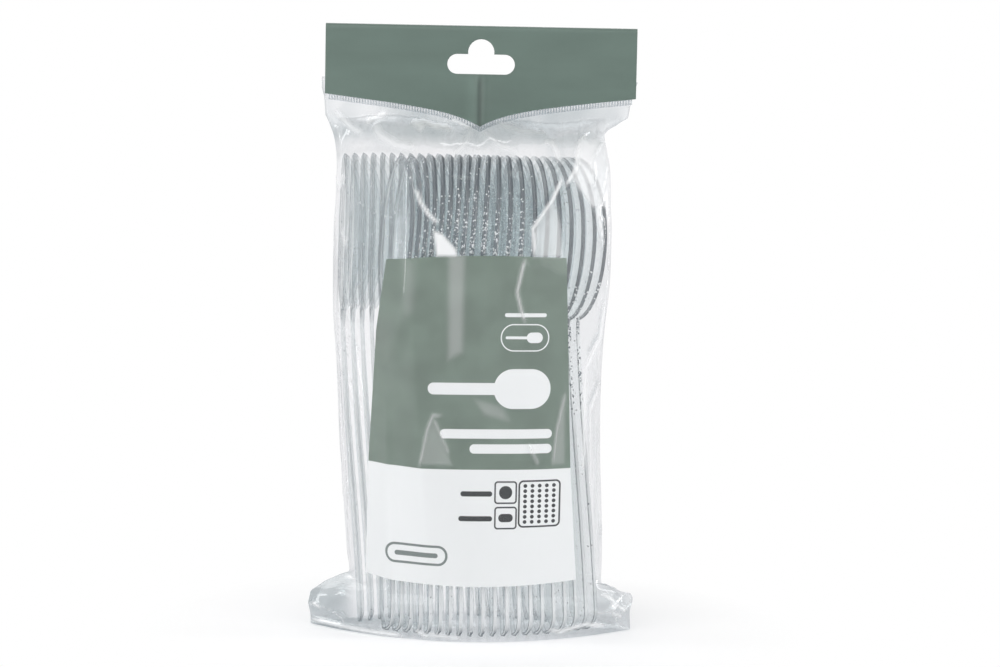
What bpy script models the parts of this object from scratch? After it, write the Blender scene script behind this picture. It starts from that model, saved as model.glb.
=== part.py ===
"""Hang-sell pack of forty disposable teaspoons, in a clear film pouch under a folded header band.

The pack stands on its base with its front towards -Y and +Z up. Its origin is the middle of the base.
Sizes below are in millimetres and degrees, and METRE turns them into Blender's metres.
"""

import math

import bmesh
import bpy
import numpy as np
from mathutils import Matrix, Vector

METRE = 0.001

# One teaspoon. It stands on the end of its handle, with the hollow of its bowl towards -X.
SPOON_LENGTH = 141.0
SPOON_WALL = 1.0
BOWL_LENGTH = 47.0
BOWL_WIDTH = 28.6
BOWL_DEPTH = 6.4
NECK_WIDTH = 5.2
NECK_RISE = 3.0  # from the line of the handle's end to the edges at the neck
TIP_RISE = 1.0  # from the same line to the bowl's tip
BOWL_FULLNESS = 1.3  # over 1, the bowl is shallower towards its neck and its tip
HANDLE_END_WIDTH = 12.4
HANDLE_CROWN = 0.8
END_CORNER = 30.0  # where the round of the handle's end starts, past its middle
TIP_CORNER = 17.0  # where the round of the bowl's tip ends, before its middle
END_ROUND_STEPS = 3
SHANK_STEPS = 3
BOWL_STEPS = 8
ACROSS = (0.0, 0.6, 1.0)  # points from the middle of the spoon to its edge
OUTLINE_STEPS = 48  # heights on a spoon that the film is drawn round

# The two rows of spoons, nested from left to right.
SPOONS_IN_ROW = 20
BOWL_PITCH = 2.85
FRONT_FOOT_PITCH = 3.25
BACK_FOOT_PITCH = 3.0
ROW_GAP = 1.6  # between the rims of the two rows
ROWS_Y = -0.6  # where the gap between the rows lies, from the middle of the base
SQUARE_SPOON = 8  # the spoon of the front row that stands square to the front
SQUARE_SPOON_X = 0.5
SQUARE_FOOT_X = 0.5
FRONT_TURN_LEFT = 20.0
FRONT_TURN_RIGHT = 38.0
BACK_TURN_RIGHT = 15.0
TURN_POWER = 1.25
BACK_FIRST_X = -39.0
BACK_FIRST_FOOT_X = -33.0
BOWL_ANCHOR = 118.0  # the height at which the rows keep their bowl pitch

# The film pouch.
FILM = 0.3
CLEARANCE = 0.3
LEAN_ROOM = 0.2  # how much lower a corner of a leaning handle reaches
FILM_SLACK = 1.6  # from the spoons' edges to the outer face of the film
EAR_REACH = 48.0
EAR_HEIGHT = 9.5
BASE_DEPTH = 23.5  # from the middle of the base to its front edge
SHOULDER_HEIGHT = 15.0
DOME_SHARE = 0.72  # how far up the bowls the film starts to close
DOME_POWER = 4.0
TIGHTEST_WRAP = 0.2  # cosine of the widest angle at which the film leans on a spoon
WRAP_REACH = 12.0  # how far above and below a ring the spoons hold the film out
SIDE_POWER = 4.0
DOME_RINGS = 8
PRINT_RINGS = 4  # in the green part of the print
AROUND = 44

# The print on the front of the pouch.
PANEL_TOP = 113.3
PANEL_BOTTOM = 20.5
PRINT_SPLIT = 52.0  # green above this height, white below it
PANEL_HALF_WIDTH = 29.0

# The header band, folded over the mouth of the pouch and welded to it.
PACK_HEIGHT = 180.0
HEADER_WIDTH = 92.0
HEADER_SIDE_DROP = 20.7
HEADER_SLOPE_DROP = 5.2
HEADER_PEAK_DROP = 3.8
HEADER_PEAK_SPREAD = 8.0
HEADER_SHEET = 0.4
HEADER_STEPS = 6
HEADER_CROWDING = 1.6  # over 1, its columns stand closer together towards the middle
HEADER_SHARP = 50.0  # an edge that turns more than this is a crease
LEAF_MARGIN = 1.0  # how far the film stands out beside the header
LEAF_HALF_THICKNESS = 0.6
LEAF_EDGE = 0.9  # how far the pressed film rounds off at its side edges
MOUTH_BELOW_HOLE = 1.5

# The hang hole: a slot with a round lobe over its middle.
SLOT_LENGTH = 20.0
SLOT_HEIGHT = 5.9
SLOT_MIDDLE_DROP = 11.3
LOBE_RADIUS = 3.9
LOBE_RISE = 3.5  # from the middle of the slot to the middle of the lobe
ARC_STEPS = 5

FOOT_HEIGHT = FILM + CLEARANCE + LEAN_ROOM
NECK_HEIGHT = SPOON_LENGTH - BOWL_LENGTH
SLOT_MIDDLE = PACK_HEIGHT - SLOT_MIDDLE_DROP
MOUTH_HEIGHT = SLOT_MIDDLE - SLOT_HEIGHT / 2 - MOUTH_BELOW_HOLE
HEADER_SIDE_EDGE = PACK_HEIGHT - HEADER_SIDE_DROP
LEAF_START = HEADER_SIDE_EDGE - HEADER_SLOPE_DROP - HEADER_PEAK_DROP - CLEARANCE


def material(name, color, roughness, alpha=1.0):
    """A plastic of one colour, see-through below an alpha of 1."""
    made = bpy.data.materials.new(name)
    made.use_nodes = True
    shader = made.node_tree.nodes["Principled BSDF"]
    shader.inputs["Base Color"].default_value = (*color, 1.0)
    shader.inputs["Roughness"].default_value = roughness
    shader.inputs["Metallic"].default_value = 0.0
    shader.inputs["Alpha"].default_value = alpha
    return made


def smooth(share):
    """A smooth step from 0 to 1."""
    share = min(max(share, 0.0), 1.0)
    return share * share * (3.0 - 2.0 * share)


def spoon_stations():
    """Rows of height, half width, place of the edges and crown, from the handle's end to the bowl's tip."""
    rows = []
    end_radius = HANDLE_END_WIDTH / 2
    corner = math.radians(END_CORNER)
    for angle in np.linspace(corner, math.pi / 2, END_ROUND_STEPS):
        height = end_radius * (math.cos(corner) - math.cos(angle))
        rows.append((height, end_radius * math.sin(angle), 0.0))
    round_height = rows[-1][0]
    for step in range(1, SHANK_STEPS):
        share = step / SHANK_STEPS
        height = round_height + (NECK_HEIGHT - round_height) * share
        rows.append((height, end_radius + (NECK_WIDTH / 2 - end_radius) * share, 0.0))
    first = math.asin(NECK_WIDTH / BOWL_WIDTH)
    last = math.pi - math.radians(TIP_CORNER)
    reach = math.cos(first) - math.cos(last)
    for angle in np.linspace(first, last, BOWL_STEPS):
        height = NECK_HEIGHT + BOWL_LENGTH * (math.cos(first) - math.cos(angle)) / reach
        rows.append((height, BOWL_WIDTH / 2 * math.sin(angle), math.sin(angle) ** BOWL_FULLNESS))
    stations = []
    for height, half, bowl in rows:
        edge = -NECK_RISE * smooth(height / NECK_HEIGHT)
        edge += (NECK_RISE - TIP_RISE) * smooth((height - NECK_HEIGHT) / BOWL_LENGTH)
        crown = BOWL_DEPTH * bowl
        if height < NECK_HEIGHT:
            crown -= HANDLE_CROWN * smooth((NECK_HEIGHT - height) / BOWL_LENGTH)
        stations.append((height, half, edge, crown))
    return stations


def spoon_mesh():
    """Half of the spoon as an open surface, up to its plane of symmetry."""
    builder = bmesh.new()
    rows = []
    for height, half, edge, crown in spoon_stations():
        row = []
        for share in ACROSS:
            place = Vector((edge + crown * (1 - share * share), share * half, height))
            row.append(builder.verts.new(place * METRE))
        rows.append(row)
    for lower, upper in zip(rows, rows[1:]):
        for column in range(len(ACROSS) - 1):
            corners = (lower[column], lower[column + 1], upper[column + 1], upper[column])
            builder.faces.new(corners)
    mesh = bpy.data.meshes.new("teaspoon")
    builder.to_mesh(mesh)
    builder.free()
    mesh.shade_smooth()
    return mesh


def nested_row(turns, pitch, anchor, anchor_place):
    """Places from above of spoons nested one pitch apart, each step square to the spoons' width."""
    places = [np.zeros(2)]
    for before, after in zip(turns, turns[1:]):
        heading = math.radians((before + after) / 2)
        places.append(places[-1] + pitch * np.array((math.cos(heading), math.sin(heading))))
    return np.array(places) - places[anchor] + np.array(anchor_place)


def base_depth(x):
    """Depth of the boat-shaped base from its long middle line to its edge, at a place along it."""
    return BASE_DEPTH * (1.0 - min(abs(x) / EAR_REACH, 1.0) ** 2)


def foot_depth(x, turn):
    """How far from the middle line a handle's end stands, with its outer edge just inside the base."""
    turn = math.radians(abs(turn))
    half = HANDLE_END_WIDTH / 2
    outer = abs(x) + half * math.sin(turn) + HANDLE_CROWN + SPOON_WALL
    return base_depth(outer) - FILM_SLACK - half * math.cos(turn)


def front_row():
    """Turn, place of the bowl and place of the foot of each spoon in the front row."""
    right_count = SPOONS_IN_ROW - 1 - SQUARE_SPOON
    turns = []
    for number in range(SPOONS_IN_ROW):
        if number < SQUARE_SPOON:
            share = (SQUARE_SPOON - number) / SQUARE_SPOON
            turns.append(FRONT_TURN_LEFT * share ** TURN_POWER)
        else:
            share = (number - SQUARE_SPOON) / right_count
            turns.append(FRONT_TURN_RIGHT * share ** TURN_POWER)
    row_y = ROWS_Y - (BOWL_WIDTH + ROW_GAP) / 2
    bowls = nested_row(turns, BOWL_PITCH, SQUARE_SPOON, (SQUARE_SPOON_X, row_y))
    feet = nested_row(turns, FRONT_FOOT_PITCH, SQUARE_SPOON, (SQUARE_FOOT_X, 0.0))
    for foot, turn in zip(feet, turns):
        foot[1] = -foot_depth(foot[0], turn)
    return turns, bowls, feet


def back_row():
    """Turn, place of the bowl and place of the foot of each spoon in the back row."""
    turns = []
    for number in range(SPOONS_IN_ROW):
        turns.append(BACK_TURN_RIGHT * (number / (SPOONS_IN_ROW - 1)) ** TURN_POWER)
    row_y = ROWS_Y + (BOWL_WIDTH + ROW_GAP) / 2
    bowls = nested_row(turns, BOWL_PITCH, 0, (BACK_FIRST_X, row_y))
    feet = nested_row(turns, BACK_FOOT_PITCH, 0, (BACK_FIRST_FOOT_X, 0.0))
    for foot, turn in zip(feet, turns):
        foot[1] = foot_depth(foot[0], turn)
    return turns, bowls, feet


def spoon_matrix(turn, bowl, foot):
    """Where a spoon stands: its foot on the pouch's floor, its long axis through its bowl's place."""
    origin = Vector((foot[0], foot[1], FOOT_HEIGHT))
    long_axis = (Vector((bowl[0], bowl[1], BOWL_ANCHOR)) - origin).normalized()
    turn = math.radians(turn)
    across = Vector((-math.sin(turn), math.cos(turn), 0.0))
    out = across.cross(long_axis).normalized()
    across = long_axis.cross(out)
    frame = Matrix((out, across, long_axis)).transposed().to_4x4()
    frame.translation = origin * METRE
    return frame


def make_spoons(parts, plastic):
    """The forty spoons. Returns the points of their surfaces, in millimetres."""
    mesh = spoon_mesh()
    mesh.materials.append(plastic)
    outline = []
    stations = np.array(spoon_stations())
    heights = np.union1d(np.linspace(0.0, SPOON_LENGTH, OUTLINE_STEPS), stations[:, 0])
    halves, edges, crowns = (np.interp(heights, stations[:, 0], column) for column in stations.T[1:])
    for height, half, edge, crown in zip(heights, halves, edges, crowns):
        for share in ACROSS:
            x = edge + crown * (1 - share * share)
            outline += [(x, share * half, height), (x, -share * half, height)]
    points = []
    for row, (turns, bowls, feet) in (("front", front_row()), ("back", back_row())):
        for number, (turn, bowl, foot) in enumerate(zip(turns, bowls, feet), start=1):
            spoon = bpy.data.objects.new(f"spoon_{row}_{number:02d}", mesh)
            parts.objects.link(spoon)
            frame = spoon_matrix(turn, bowl, foot)
            spoon.location = frame.to_translation()
            spoon.rotation_euler = frame.to_euler()
            mirror = spoon.modifiers.new("other half", "MIRROR")
            mirror.use_axis = (False, True, False)
            mirror.merge_threshold = 0.00005
            wall = spoon.modifiers.new("wall", "SOLIDIFY")
            wall.thickness = SPOON_WALL * METRE
            wall.offset = 0.0
            wall.use_even_offset = True
            for point in outline:
                points.append(frame @ (Vector(point) * METRE) / METRE)
    return np.array(points)


def wrap(points, directions):
    """Radius in each direction of a film drawn tight, at its slack, round points seen from above."""
    headings = np.linspace(0.0, 2 * math.pi, 4 * AROUND, endpoint=False)
    normals = np.stack((np.cos(headings), np.sin(headings)))
    reach = (points[:, :2] @ normals).max(axis=0) + FILM_SLACK
    facing = np.cos(directions[:, None] - headings[None, :])
    radii = np.where(facing > TIGHTEST_WRAP, reach / np.maximum(facing, TIGHTEST_WRAP), np.inf)
    return radii.min(axis=1)


def wrap_ring(points):
    """Radii of the film round points in the ring's own directions, with no corner cut between two of them."""
    step = 2 * math.pi / AROUND
    angles = step * np.arange(AROUND)
    return np.max([wrap(points, angles + turn) for turn in (-step / 2, 0.0, step / 2)], axis=0)


def base_ring(reach):
    """The boat-shaped outline of the base, drawn out to its two ears."""
    ring = []
    for step in range(AROUND):
        angle = 2 * math.pi * step / AROUND
        x = math.cos(angle)
        y = math.copysign(base_depth(x * EAR_REACH), math.sin(angle))
        ring.append((x * reach, y if step % (AROUND // 2) else 0.0))
    return np.array(ring)


def leaf_ring():
    """The outline of the film pressed flat inside the header: evenly spaced points, and round edges."""
    half_width = HEADER_WIDTH / 2 + LEAF_MARGIN
    count = AROUND // 2 - 1
    ring = [(half_width, 0.0)]
    for side, order in ((1, range(count)), (-1, reversed(range(count)))):
        for step in order:
            x = (half_width - LEAF_EDGE) * (1.0 - 2.0 * step / (count - 1))
            ring.append((x, side * LEAF_HALF_THICKNESS))
        if side == 1:
            ring.append((-half_width, 0.0))
    return np.array(ring)


def pouch_rings(points):
    """Rings of (height, outline) from the base of the pouch to its mouth, drawn round the spoons."""
    angles = 2 * np.pi * np.arange(AROUND) / AROUND
    directions = np.stack((np.cos(angles), np.sin(angles)), axis=1)
    low = wrap_ring(points[points[:, 2] < NECK_HEIGHT / 2])
    high = wrap_ring(points[points[:, 2] > NECK_HEIGHT])
    dome_start = NECK_HEIGHT + BOWL_LENGTH * DOME_SHARE
    leaf = leaf_ring()
    rings = [(0.0, base_ring(EAR_REACH)), (EAR_HEIGHT, base_ring(EAR_REACH - CLEARANCE))]
    foot = directions * low[:, None]
    between = (rings[1][1] + foot) / 2
    rings.append(((EAR_HEIGHT + SHOULDER_HEIGHT) / 2, between))
    white_heights = np.linspace(PANEL_BOTTOM, PRINT_SPLIT, PRINT_RINGS // 2, endpoint=False)
    green_heights = np.linspace(PRINT_SPLIT, PANEL_TOP, PRINT_RINGS)
    widest = NECK_HEIGHT + BOWL_LENGTH / 4
    for height in (SHOULDER_HEIGHT, *white_heights, *green_heights, dome_start):
        share = min((height - SHOULDER_HEIGHT) / (widest - SHOULDER_HEIGHT), 1.0)
        near = points[np.abs(points[:, 2] - height) < WRAP_REACH]
        radii = np.maximum(low + (high - low) * share, wrap_ring(near))
        rings.append((height, directions * radii[:, None]))
    body = rings[-1][1]
    for ring in range(1, DOME_RINGS + 1):
        share = 1.0 - (1.0 - ring / DOME_RINGS) ** 2
        height = dome_start + (LEAF_START - dome_start) * share
        x = body[:, 0] + (leaf[:, 0] - body[:, 0]) * share ** SIDE_POWER
        y = body[:, 1] + (leaf[:, 1] - body[:, 1]) * share ** DOME_POWER
        rings.append((height, np.stack((x, y), axis=1)))
    rings.append(((LEAF_START + MOUTH_HEIGHT) / 2, leaf))
    rings.append((MOUTH_HEIGHT, leaf))
    return rings


def print_slot(center):
    """Which material a face of the film has: 0 for clear film, 1 for green print, 2 for white print."""
    inside = abs(center.x) < PANEL_HALF_WIDTH * METRE and center.y < 0.0
    if not inside or not PANEL_BOTTOM * METRE < center.z < PANEL_TOP * METRE:
        return 0
    return 1 if center.z > PRINT_SPLIT * METRE else 2


def make_pouch(parts, points, film, green, white):
    """The film pouch: rings from a boat-shaped base to a flat mouth, with a wall inside their surface."""
    builder = bmesh.new()
    rows = []
    for height, ring in pouch_rings(points):
        rows.append([builder.verts.new(Vector((x, y, height)) * METRE) for x, y in ring])
    for lower, upper in zip(rows, rows[1:]):
        for step in range(AROUND):
            after = (step + 1) % AROUND
            builder.faces.new((lower[step], lower[after], upper[after], upper[step]))
    for step in range(AROUND // 2):
        left, right = rows[0][step], rows[0][step + 1]
        right_back, left_back = rows[0][-step - 1], rows[0][-step % AROUND]
        corners = dict.fromkeys((left_back, right_back, right, left))
        builder.faces.new(tuple(corners))
    for face in builder.faces:
        face.material_index = print_slot(face.calc_center_median())
    mesh = bpy.data.meshes.new("film_pouch")
    builder.to_mesh(mesh)
    builder.free()
    mesh.shade_smooth()
    pouch = bpy.data.objects.new("film_pouch", mesh)
    parts.objects.link(pouch)
    for plastic in (film, green, white):
        mesh.materials.append(plastic)
    wall = pouch.modifiers.new("film", "SOLIDIFY")
    wall.thickness = FILM * METRE
    wall.offset = -1.0
    wall.use_even_offset = True


def header_edge(x):
    """Height of the header's lower edge: a shallow V with a peak in its middle."""
    slope = HEADER_SLOPE_DROP * (1.0 - abs(x) / (HEADER_WIDTH / 2))
    peak = HEADER_PEAK_DROP * math.exp(-abs(x) / HEADER_PEAK_SPREAD)
    return HEADER_SIDE_EDGE - slope - peak


def hang_hole_outline():
    """Points round the hang hole, seen from the front, about the middle of its slot."""
    radius = SLOT_HEIGHT / 2
    shift = SLOT_LENGTH / 2 - radius
    points = []
    for step in range(ARC_STEPS + 1):
        angle = -math.pi / 2 + math.pi * step / ARC_STEPS
        points.append((shift + radius * math.cos(angle), radius * math.sin(angle)))
    start = math.asin((radius - LOBE_RISE) / LOBE_RADIUS)
    for step in range(ARC_STEPS + 1):
        angle = start + (math.pi - 2 * start) * step / ARC_STEPS
        points.append((LOBE_RADIUS * math.cos(angle), LOBE_RISE + LOBE_RADIUS * math.sin(angle)))
    for step in range(ARC_STEPS + 1):
        angle = math.pi / 2 + math.pi * step / ARC_STEPS
        points.append((-shift + radius * math.cos(angle), radius * math.sin(angle)))
    return points


def make_hole_cutter(cutters, depth):
    """A prism of the hang hole's outline that runs right through the header."""
    builder = bmesh.new()
    corners = []
    for x, z in hang_hole_outline():
        corners.append(builder.verts.new(Vector((x, -depth, SLOT_MIDDLE + z)) * METRE))
    face = builder.faces.new(corners)
    grown = bmesh.ops.extrude_face_region(builder, geom=[face])
    moved = [item for item in grown["geom"] if isinstance(item, bmesh.types.BMVert)]
    bmesh.ops.translate(builder, verts=moved, vec=(0.0, 2 * depth * METRE, 0.0))
    bmesh.ops.recalc_face_normals(builder, faces=builder.faces)
    mesh = bpy.data.meshes.new("hang_hole_cutter")
    builder.to_mesh(mesh)
    builder.free()
    cutter = bpy.data.objects.new("hang_hole_cutter", mesh)
    cutter.display_type = "WIRE"
    cutter.hide_render = True
    cutters.objects.link(cutter)
    return cutter


def make_header(parts, cutters, plastic):
    """The header band: one strip folded over the top, with a V-shaped lower edge on both leaves."""
    outer = LEAF_HALF_THICKNESS + CLEARANCE + HEADER_SHEET
    half_width = HEADER_WIDTH / 2
    builder = bmesh.new()
    columns = []
    for step in range(-HEADER_STEPS, HEADER_STEPS + 1):
        share = abs(step) / HEADER_STEPS
        columns.append(math.copysign(half_width * share ** HEADER_CROWDING, step))
    rows = []
    for x in columns:
        edge = header_edge(x)
        section = [(-outer, edge), (-outer, PACK_HEIGHT - outer)]
        for angle in (math.pi * 0.75, math.pi * 0.5, math.pi * 0.25):
            section.append((outer * math.cos(angle), PACK_HEIGHT - outer + outer * math.sin(angle)))
        section += [(outer, PACK_HEIGHT - outer), (outer, edge)]
        rows.append([builder.verts.new(Vector((x, y, z)) * METRE) for y, z in section])
    for left, right in zip(rows, rows[1:]):
        for step in range(len(left) - 1):
            builder.faces.new((left[step], right[step], right[step + 1], left[step + 1]))
    mesh = bpy.data.meshes.new("header_band")
    builder.to_mesh(mesh)
    builder.free()
    mesh.materials.append(plastic)
    mesh.shade_smooth()
    mesh.set_sharp_from_angle(angle=math.radians(HEADER_SHARP))
    header = bpy.data.objects.new("header_band", mesh)
    parts.objects.link(header)
    wall = header.modifiers.new("sheet", "SOLIDIFY")
    wall.thickness = HEADER_SHEET * METRE
    wall.offset = -1.0
    wall.use_even_offset = True
    hole = header.modifiers.new("hang hole", "BOOLEAN")
    hole.object = make_hole_cutter(cutters, 4 * outer)


def main():
    for leftover in list(bpy.data.objects):
        bpy.data.objects.remove(leftover)
    parts = bpy.data.collections.new("cutlery_pack")
    cutters = bpy.data.collections.new("cutters")
    bpy.context.scene.collection.children.link(parts)
    bpy.context.scene.collection.children.link(cutters)
    spoon_plastic = material("clear glitter polystyrene", (0.62, 0.64, 0.66), 0.12, 0.55)
    film = material("clear polypropylene film", (0.86, 0.88, 0.90), 0.08, 0.25)
    green = material("sage green print", (0.20, 0.26, 0.22), 0.30)
    white = material("white print", (0.84, 0.87, 0.86), 0.30)
    header_film = material("sage green header film", (0.18, 0.24, 0.20), 0.32)
    points = make_spoons(parts, spoon_plastic)
    make_pouch(parts, points, film, green, white)
    make_header(parts, cutters, header_film)


if __name__ == "__main__":
    main()
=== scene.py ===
"""Looks of a hang-sell pack of forty clear plastic teaspoons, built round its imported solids.

It gives the spoons their moulded shape and glitter, the film pouch its folds, and the header and the print
their inks, and it adds the camera, the floor and the studio light. The pack stands on its base with its
front towards -Y. Sizes are in millimetres, and MM turns them into metres.
"""

import math

import bmesh
import bpy
import numpy as np
from bpy.props import FloatProperty, FloatVectorProperty, PointerProperty
from bpy.types import Operator, Panel, PropertyGroup
from mathutils import Matrix, Vector, noise
from mathutils.bvhtree import BVHTree


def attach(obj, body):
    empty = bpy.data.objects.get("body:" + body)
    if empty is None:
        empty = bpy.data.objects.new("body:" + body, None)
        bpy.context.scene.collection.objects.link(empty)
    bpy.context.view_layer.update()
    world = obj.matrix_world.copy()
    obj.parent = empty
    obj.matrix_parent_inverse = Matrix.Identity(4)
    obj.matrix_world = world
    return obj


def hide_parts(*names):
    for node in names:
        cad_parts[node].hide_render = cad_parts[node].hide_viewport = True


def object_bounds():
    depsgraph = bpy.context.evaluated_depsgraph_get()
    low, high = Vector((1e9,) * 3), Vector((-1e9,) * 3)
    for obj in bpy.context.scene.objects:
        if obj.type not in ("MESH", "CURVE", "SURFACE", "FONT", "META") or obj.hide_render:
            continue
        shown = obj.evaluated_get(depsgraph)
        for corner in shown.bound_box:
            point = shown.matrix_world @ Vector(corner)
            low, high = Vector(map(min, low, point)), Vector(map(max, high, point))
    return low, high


bl_info = {
    "name": "Teaspoon Pack Looks",
    "version": (1, 0, 0),
    "blender": (4, 5, 0),
    "location": "3D View > Sidebar > Teaspoon Pack",
    "description": "Moulded spoons, film pouch, header and print of a hang-sell pack of teaspoons",
    "category": "Object",
}

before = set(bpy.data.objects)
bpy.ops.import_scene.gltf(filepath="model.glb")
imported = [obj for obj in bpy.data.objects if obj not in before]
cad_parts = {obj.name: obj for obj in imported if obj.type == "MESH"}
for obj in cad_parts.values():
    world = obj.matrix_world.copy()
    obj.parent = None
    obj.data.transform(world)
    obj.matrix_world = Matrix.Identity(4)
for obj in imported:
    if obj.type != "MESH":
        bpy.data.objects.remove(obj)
CAD_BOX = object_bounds()
MM = 0.001

# One teaspoon, as in the construction, with finer steps along and across it.
SPOON_LENGTH = 141.0
BOWL_LENGTH = 47.0
BOWL_WIDTH = 28.6
BOWL_DEPTH = 6.4
NECK_WIDTH = 5.2
NECK_RISE = 3.0
TIP_RISE = 1.0
BOWL_FULLNESS = 1.3
HANDLE_END_WIDTH = 12.4
HANDLE_CROWN = 0.8
END_CORNER = 5.0
TIP_CORNER = 4.0
END_ROUND_STEPS = 8
SHANK_STEPS = 16
BOWL_STEPS = 30
ACROSS_STEPS = 6
SHARP_ANGLE = 50.0
NECK_HEIGHT = SPOON_LENGTH - BOWL_LENGTH

# Where a spoon's edges show their painted shade and painted highlights. The bunches are places along X, and
# the heights run along the spoon.
OUTER_FADE = 6.0
OUTER_START = 0.4
BACK_EDGES = 0.4
RIM_REACH = (0.3, 0.55)
CORE_REACH = (0.1, 0.3)
RIGHT_BUNCH = (15.0, 21.0)
RIGHT_DROP = 24.0
LEFT_BUNCH = (-12.0, -22.0)
LEFT_EDGES = 0.4
EDGES_TURN_PALE = (133.0, 112.0)
GLITTER_ENDS = (100.0, 88.0)

# The spoon's plastic. FLECK_ODDS are the shares of cells without a fleck, away from the rims and in them.
FLECK_ODDS = (0.997, 0.7)
SPOON_IOR = 1.59
SPOON_ROUGHNESS = 0.15
SPOON_GLOSS = 0.03

# The two rows of nested spoons.
SPOONS_IN_ROW = 20
BOWL_PITCH = 2.85
FRONT_FOOT_PITCH = 3.25
BACK_FOOT_PITCH = 3.0
ROW_GAP = 1.6
ROWS_Y = -0.6
SQUARE_SPOON = 8
SQUARE_SPOON_X = 0.5
SQUARE_FOOT_X = 0.5
FRONT_TURN_LEFT = 20.0
FRONT_TURN_RIGHT = 38.0
BACK_TURN_RIGHT = 15.0
TURN_POWER = 1.25
BACK_FIRST_X = -39.0
BACK_FIRST_FOOT_X = -33.0
BOWL_ANCHOR = 118.0
FOOT_HEIGHT = 0.8
FOOT_SLACK = 1.6

# The film pouch: its base, its dome over the bowls, and the flat leaf that goes up into the header.
EAR_REACH = 48.0
EAR_HEIGHT = 9.5
BASE_DEPTH = 23.5
SHOULDER_HEIGHT = 15.0
DOME_START = NECK_HEIGHT + BOWL_LENGTH * 0.72
DOME_POWER = 4.0
SIDE_POWER = 4.0
TIGHTEST_WRAP = 0.2
LEAF_START = 150.0
LEAF_HALF_THICKNESS = 0.6
LEAF_RIGHT = ((148.6, 153.4, 159.4, 164.0), (41.8, 43.8, 44.8, 46.4))
LEAF_LEFT = ((146.0, 158.5, 161.0), (45.2, 46.3, 47.0))
LEAF_FOLLOWS = 0.35
LEAF_WOBBLE = 0.8
LEAF_WOBBLES = 9.0
MOUTH_HEIGHT = 164.25
WRAP_REACH = 12.0
WRAP_BLUR = 3.0
WRAP_BLUR_COLUMNS = 1.5
LOWEST_FOLD = 0.25
BACK_COLUMNS = 124
FRONT_COLUMNS = 200
COLUMNS = BACK_COLUMNS + FRONT_COLUMNS
ROWS = 290

# The film's plastic. FILM_HAZE is how much plain film hides, and how much its whitest painted highlights
# hide.
FILM_IOR = 1.49
FILM_ROUGHNESS = 0.07
FILM_GLOSS = 0.16
FILM_EDGE_TINT = 0.12
FILM_HAZE = (0.02, 0.92)

# Noise on the film: its size in millimetres on each axis, and its seed.
FILM_WAVES = ((13.0, 18.0, 26.0), 3.1)
SMALL_WAVES = ((6.0, 9.0, 14.0), 8.7)
GATHERED_RIDGES = ((3.4, 30.0, 22.0), 5.3)
CRUMPLES = ((11.0, 15.0, 8.0), 1.9)
SIDE_STREAKS = ((3.0, 4.0, 42.0), 6.1)
FILM_CLOUDS = ((13.0, 20.0, 9.0), 2.2)
SMALL_CLOUDS = ((5.0, 12.0, 7.0), 9.4)

# Where each kind of fold sets in and where it is whole: heights, or distances from the middle for
# EAR_REACHES and SIDE_REACHES.
LOOSE_ZONE = (128.0, 140.0)
WAVES_END = (155.0, 149.0)
GATHER_STARTS = (138.0, 148.0)
GATHER_ENDS = (156.0, 152.0)
EAR_REACHES = (33.0, 39.0)
EAR_TOP = (17.0, 13.0)
HEM_TOP = (2.0, 7.0)
BASE_FOLDS_TOP = (12.0, 6.0)
SIDE_REACHES = (34.0, 37.0)
SIDE_TOP = (130.0, 120.0)
SIDE_BOTTOM = (16.0, 22.0)
MIDDLE_STARTS = (136.0, 146.0)
DENSE_STARTS = (143.0, 149.0)
TOP_SHADE = (136.0, 144.0)
BASE_SHADE = (20.0, 16.0)

# How high the folds rise, and how white the painted highlights on their sharpest ridges are.
GATHER_HEIGHT = 0.3
BASE_FOLD_HEIGHT = 0.5
STREAK_HEIGHT = 0.45
STREAK_HIGHLIGHT = 0.35
CRUMPLE_HIGHLIGHT = 0.3
GATHER_HIGHLIGHT = 0.15

# The print, as heights and widths on the front of the pouch.
PANEL_TOP = 113.3
PANEL_BOTTOM = 17.4
PANEL_LEFT = ((17.4, 52.0, 92.0, 113.3), (-31.6, -31.1, -29.0, -26.1))
PANEL_RIGHT = ((17.4, 52.0, 113.3), (31.1, 28.5, 25.9))
PANEL_DROOP = 1.4
PANEL_BOTTOM_BOW = 0.9
PANEL_TOP_BOW = 0.5
PRINT_SPLIT = 52.6
PRINT_SETTLES = 1.1
SETTLE_TOP = 98.0
PANEL_ACROSS = 90
PANEL_ALONG = 150
PRINT_BELOW_FILM = 0.12

# The ink: how soft its edges are, its gloss, and the size and shades of its clouds.
INK_EDGE = 0.06
INK_ROUGHNESS = 0.55
INK_CLOUD = 11.1
INK_CLOUD_SHADES = (0.35, 0.65, 0.9, 1.1)

# The header band, with its hang hole and its weld's ribs.
PACK_HEIGHT = 180.0
HEADER_WIDTH = 92.0
HEADER_SIDE_EDGE = 159.3
HEADER_SLOPE_DROP = 5.2
HEADER_PEAK_DROP = 3.8
HEADER_PEAK_SPREAD = 8.0
HEADER_SHEET = 0.3
HEADER_OUTER = 1.2
HEADER_ACROSS = 150
HEADER_ALONG = 40
SLOT_LENGTH = 20.0
SLOT_HEIGHT = 5.9
SLOT_MIDDLE = 168.7
LOBE_RADIUS = 3.9
LOBE_RISE = 3.5
ARC_STEPS = 14
RIB_PITCH = 0.82
RIB_HEIGHT = 1.9
RIB_RELIEF = 0.22
RIB_STANDS = 0.25
RIB_OVERLAP = 0.3
RIB_STEPS = 6

# The header's waves and clouds, with their sizes in millimetres, the noise of the ribs' painted highlights,
# and the painted shade and highlight of its crease.
HEADER_WAVES = ((16.0, 40.0, 11.0), 4.4)
HEADER_SMALL_WAVES = ((34.0, 40.0, 4.2), 7.9)
RIB_GLINT_NOISE = ((9.0, 9.0, 9.0), 4.9)
HEADER_CLOUD = (33.3, 33.3, 9.1)
HEADER_CLOUD_SHADES = (0.3, 0.7, 0.92, 1.08)
CREASE_SHADES = (0.55, 1.45)
HEADER_ROUGHNESS = 0.38

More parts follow.
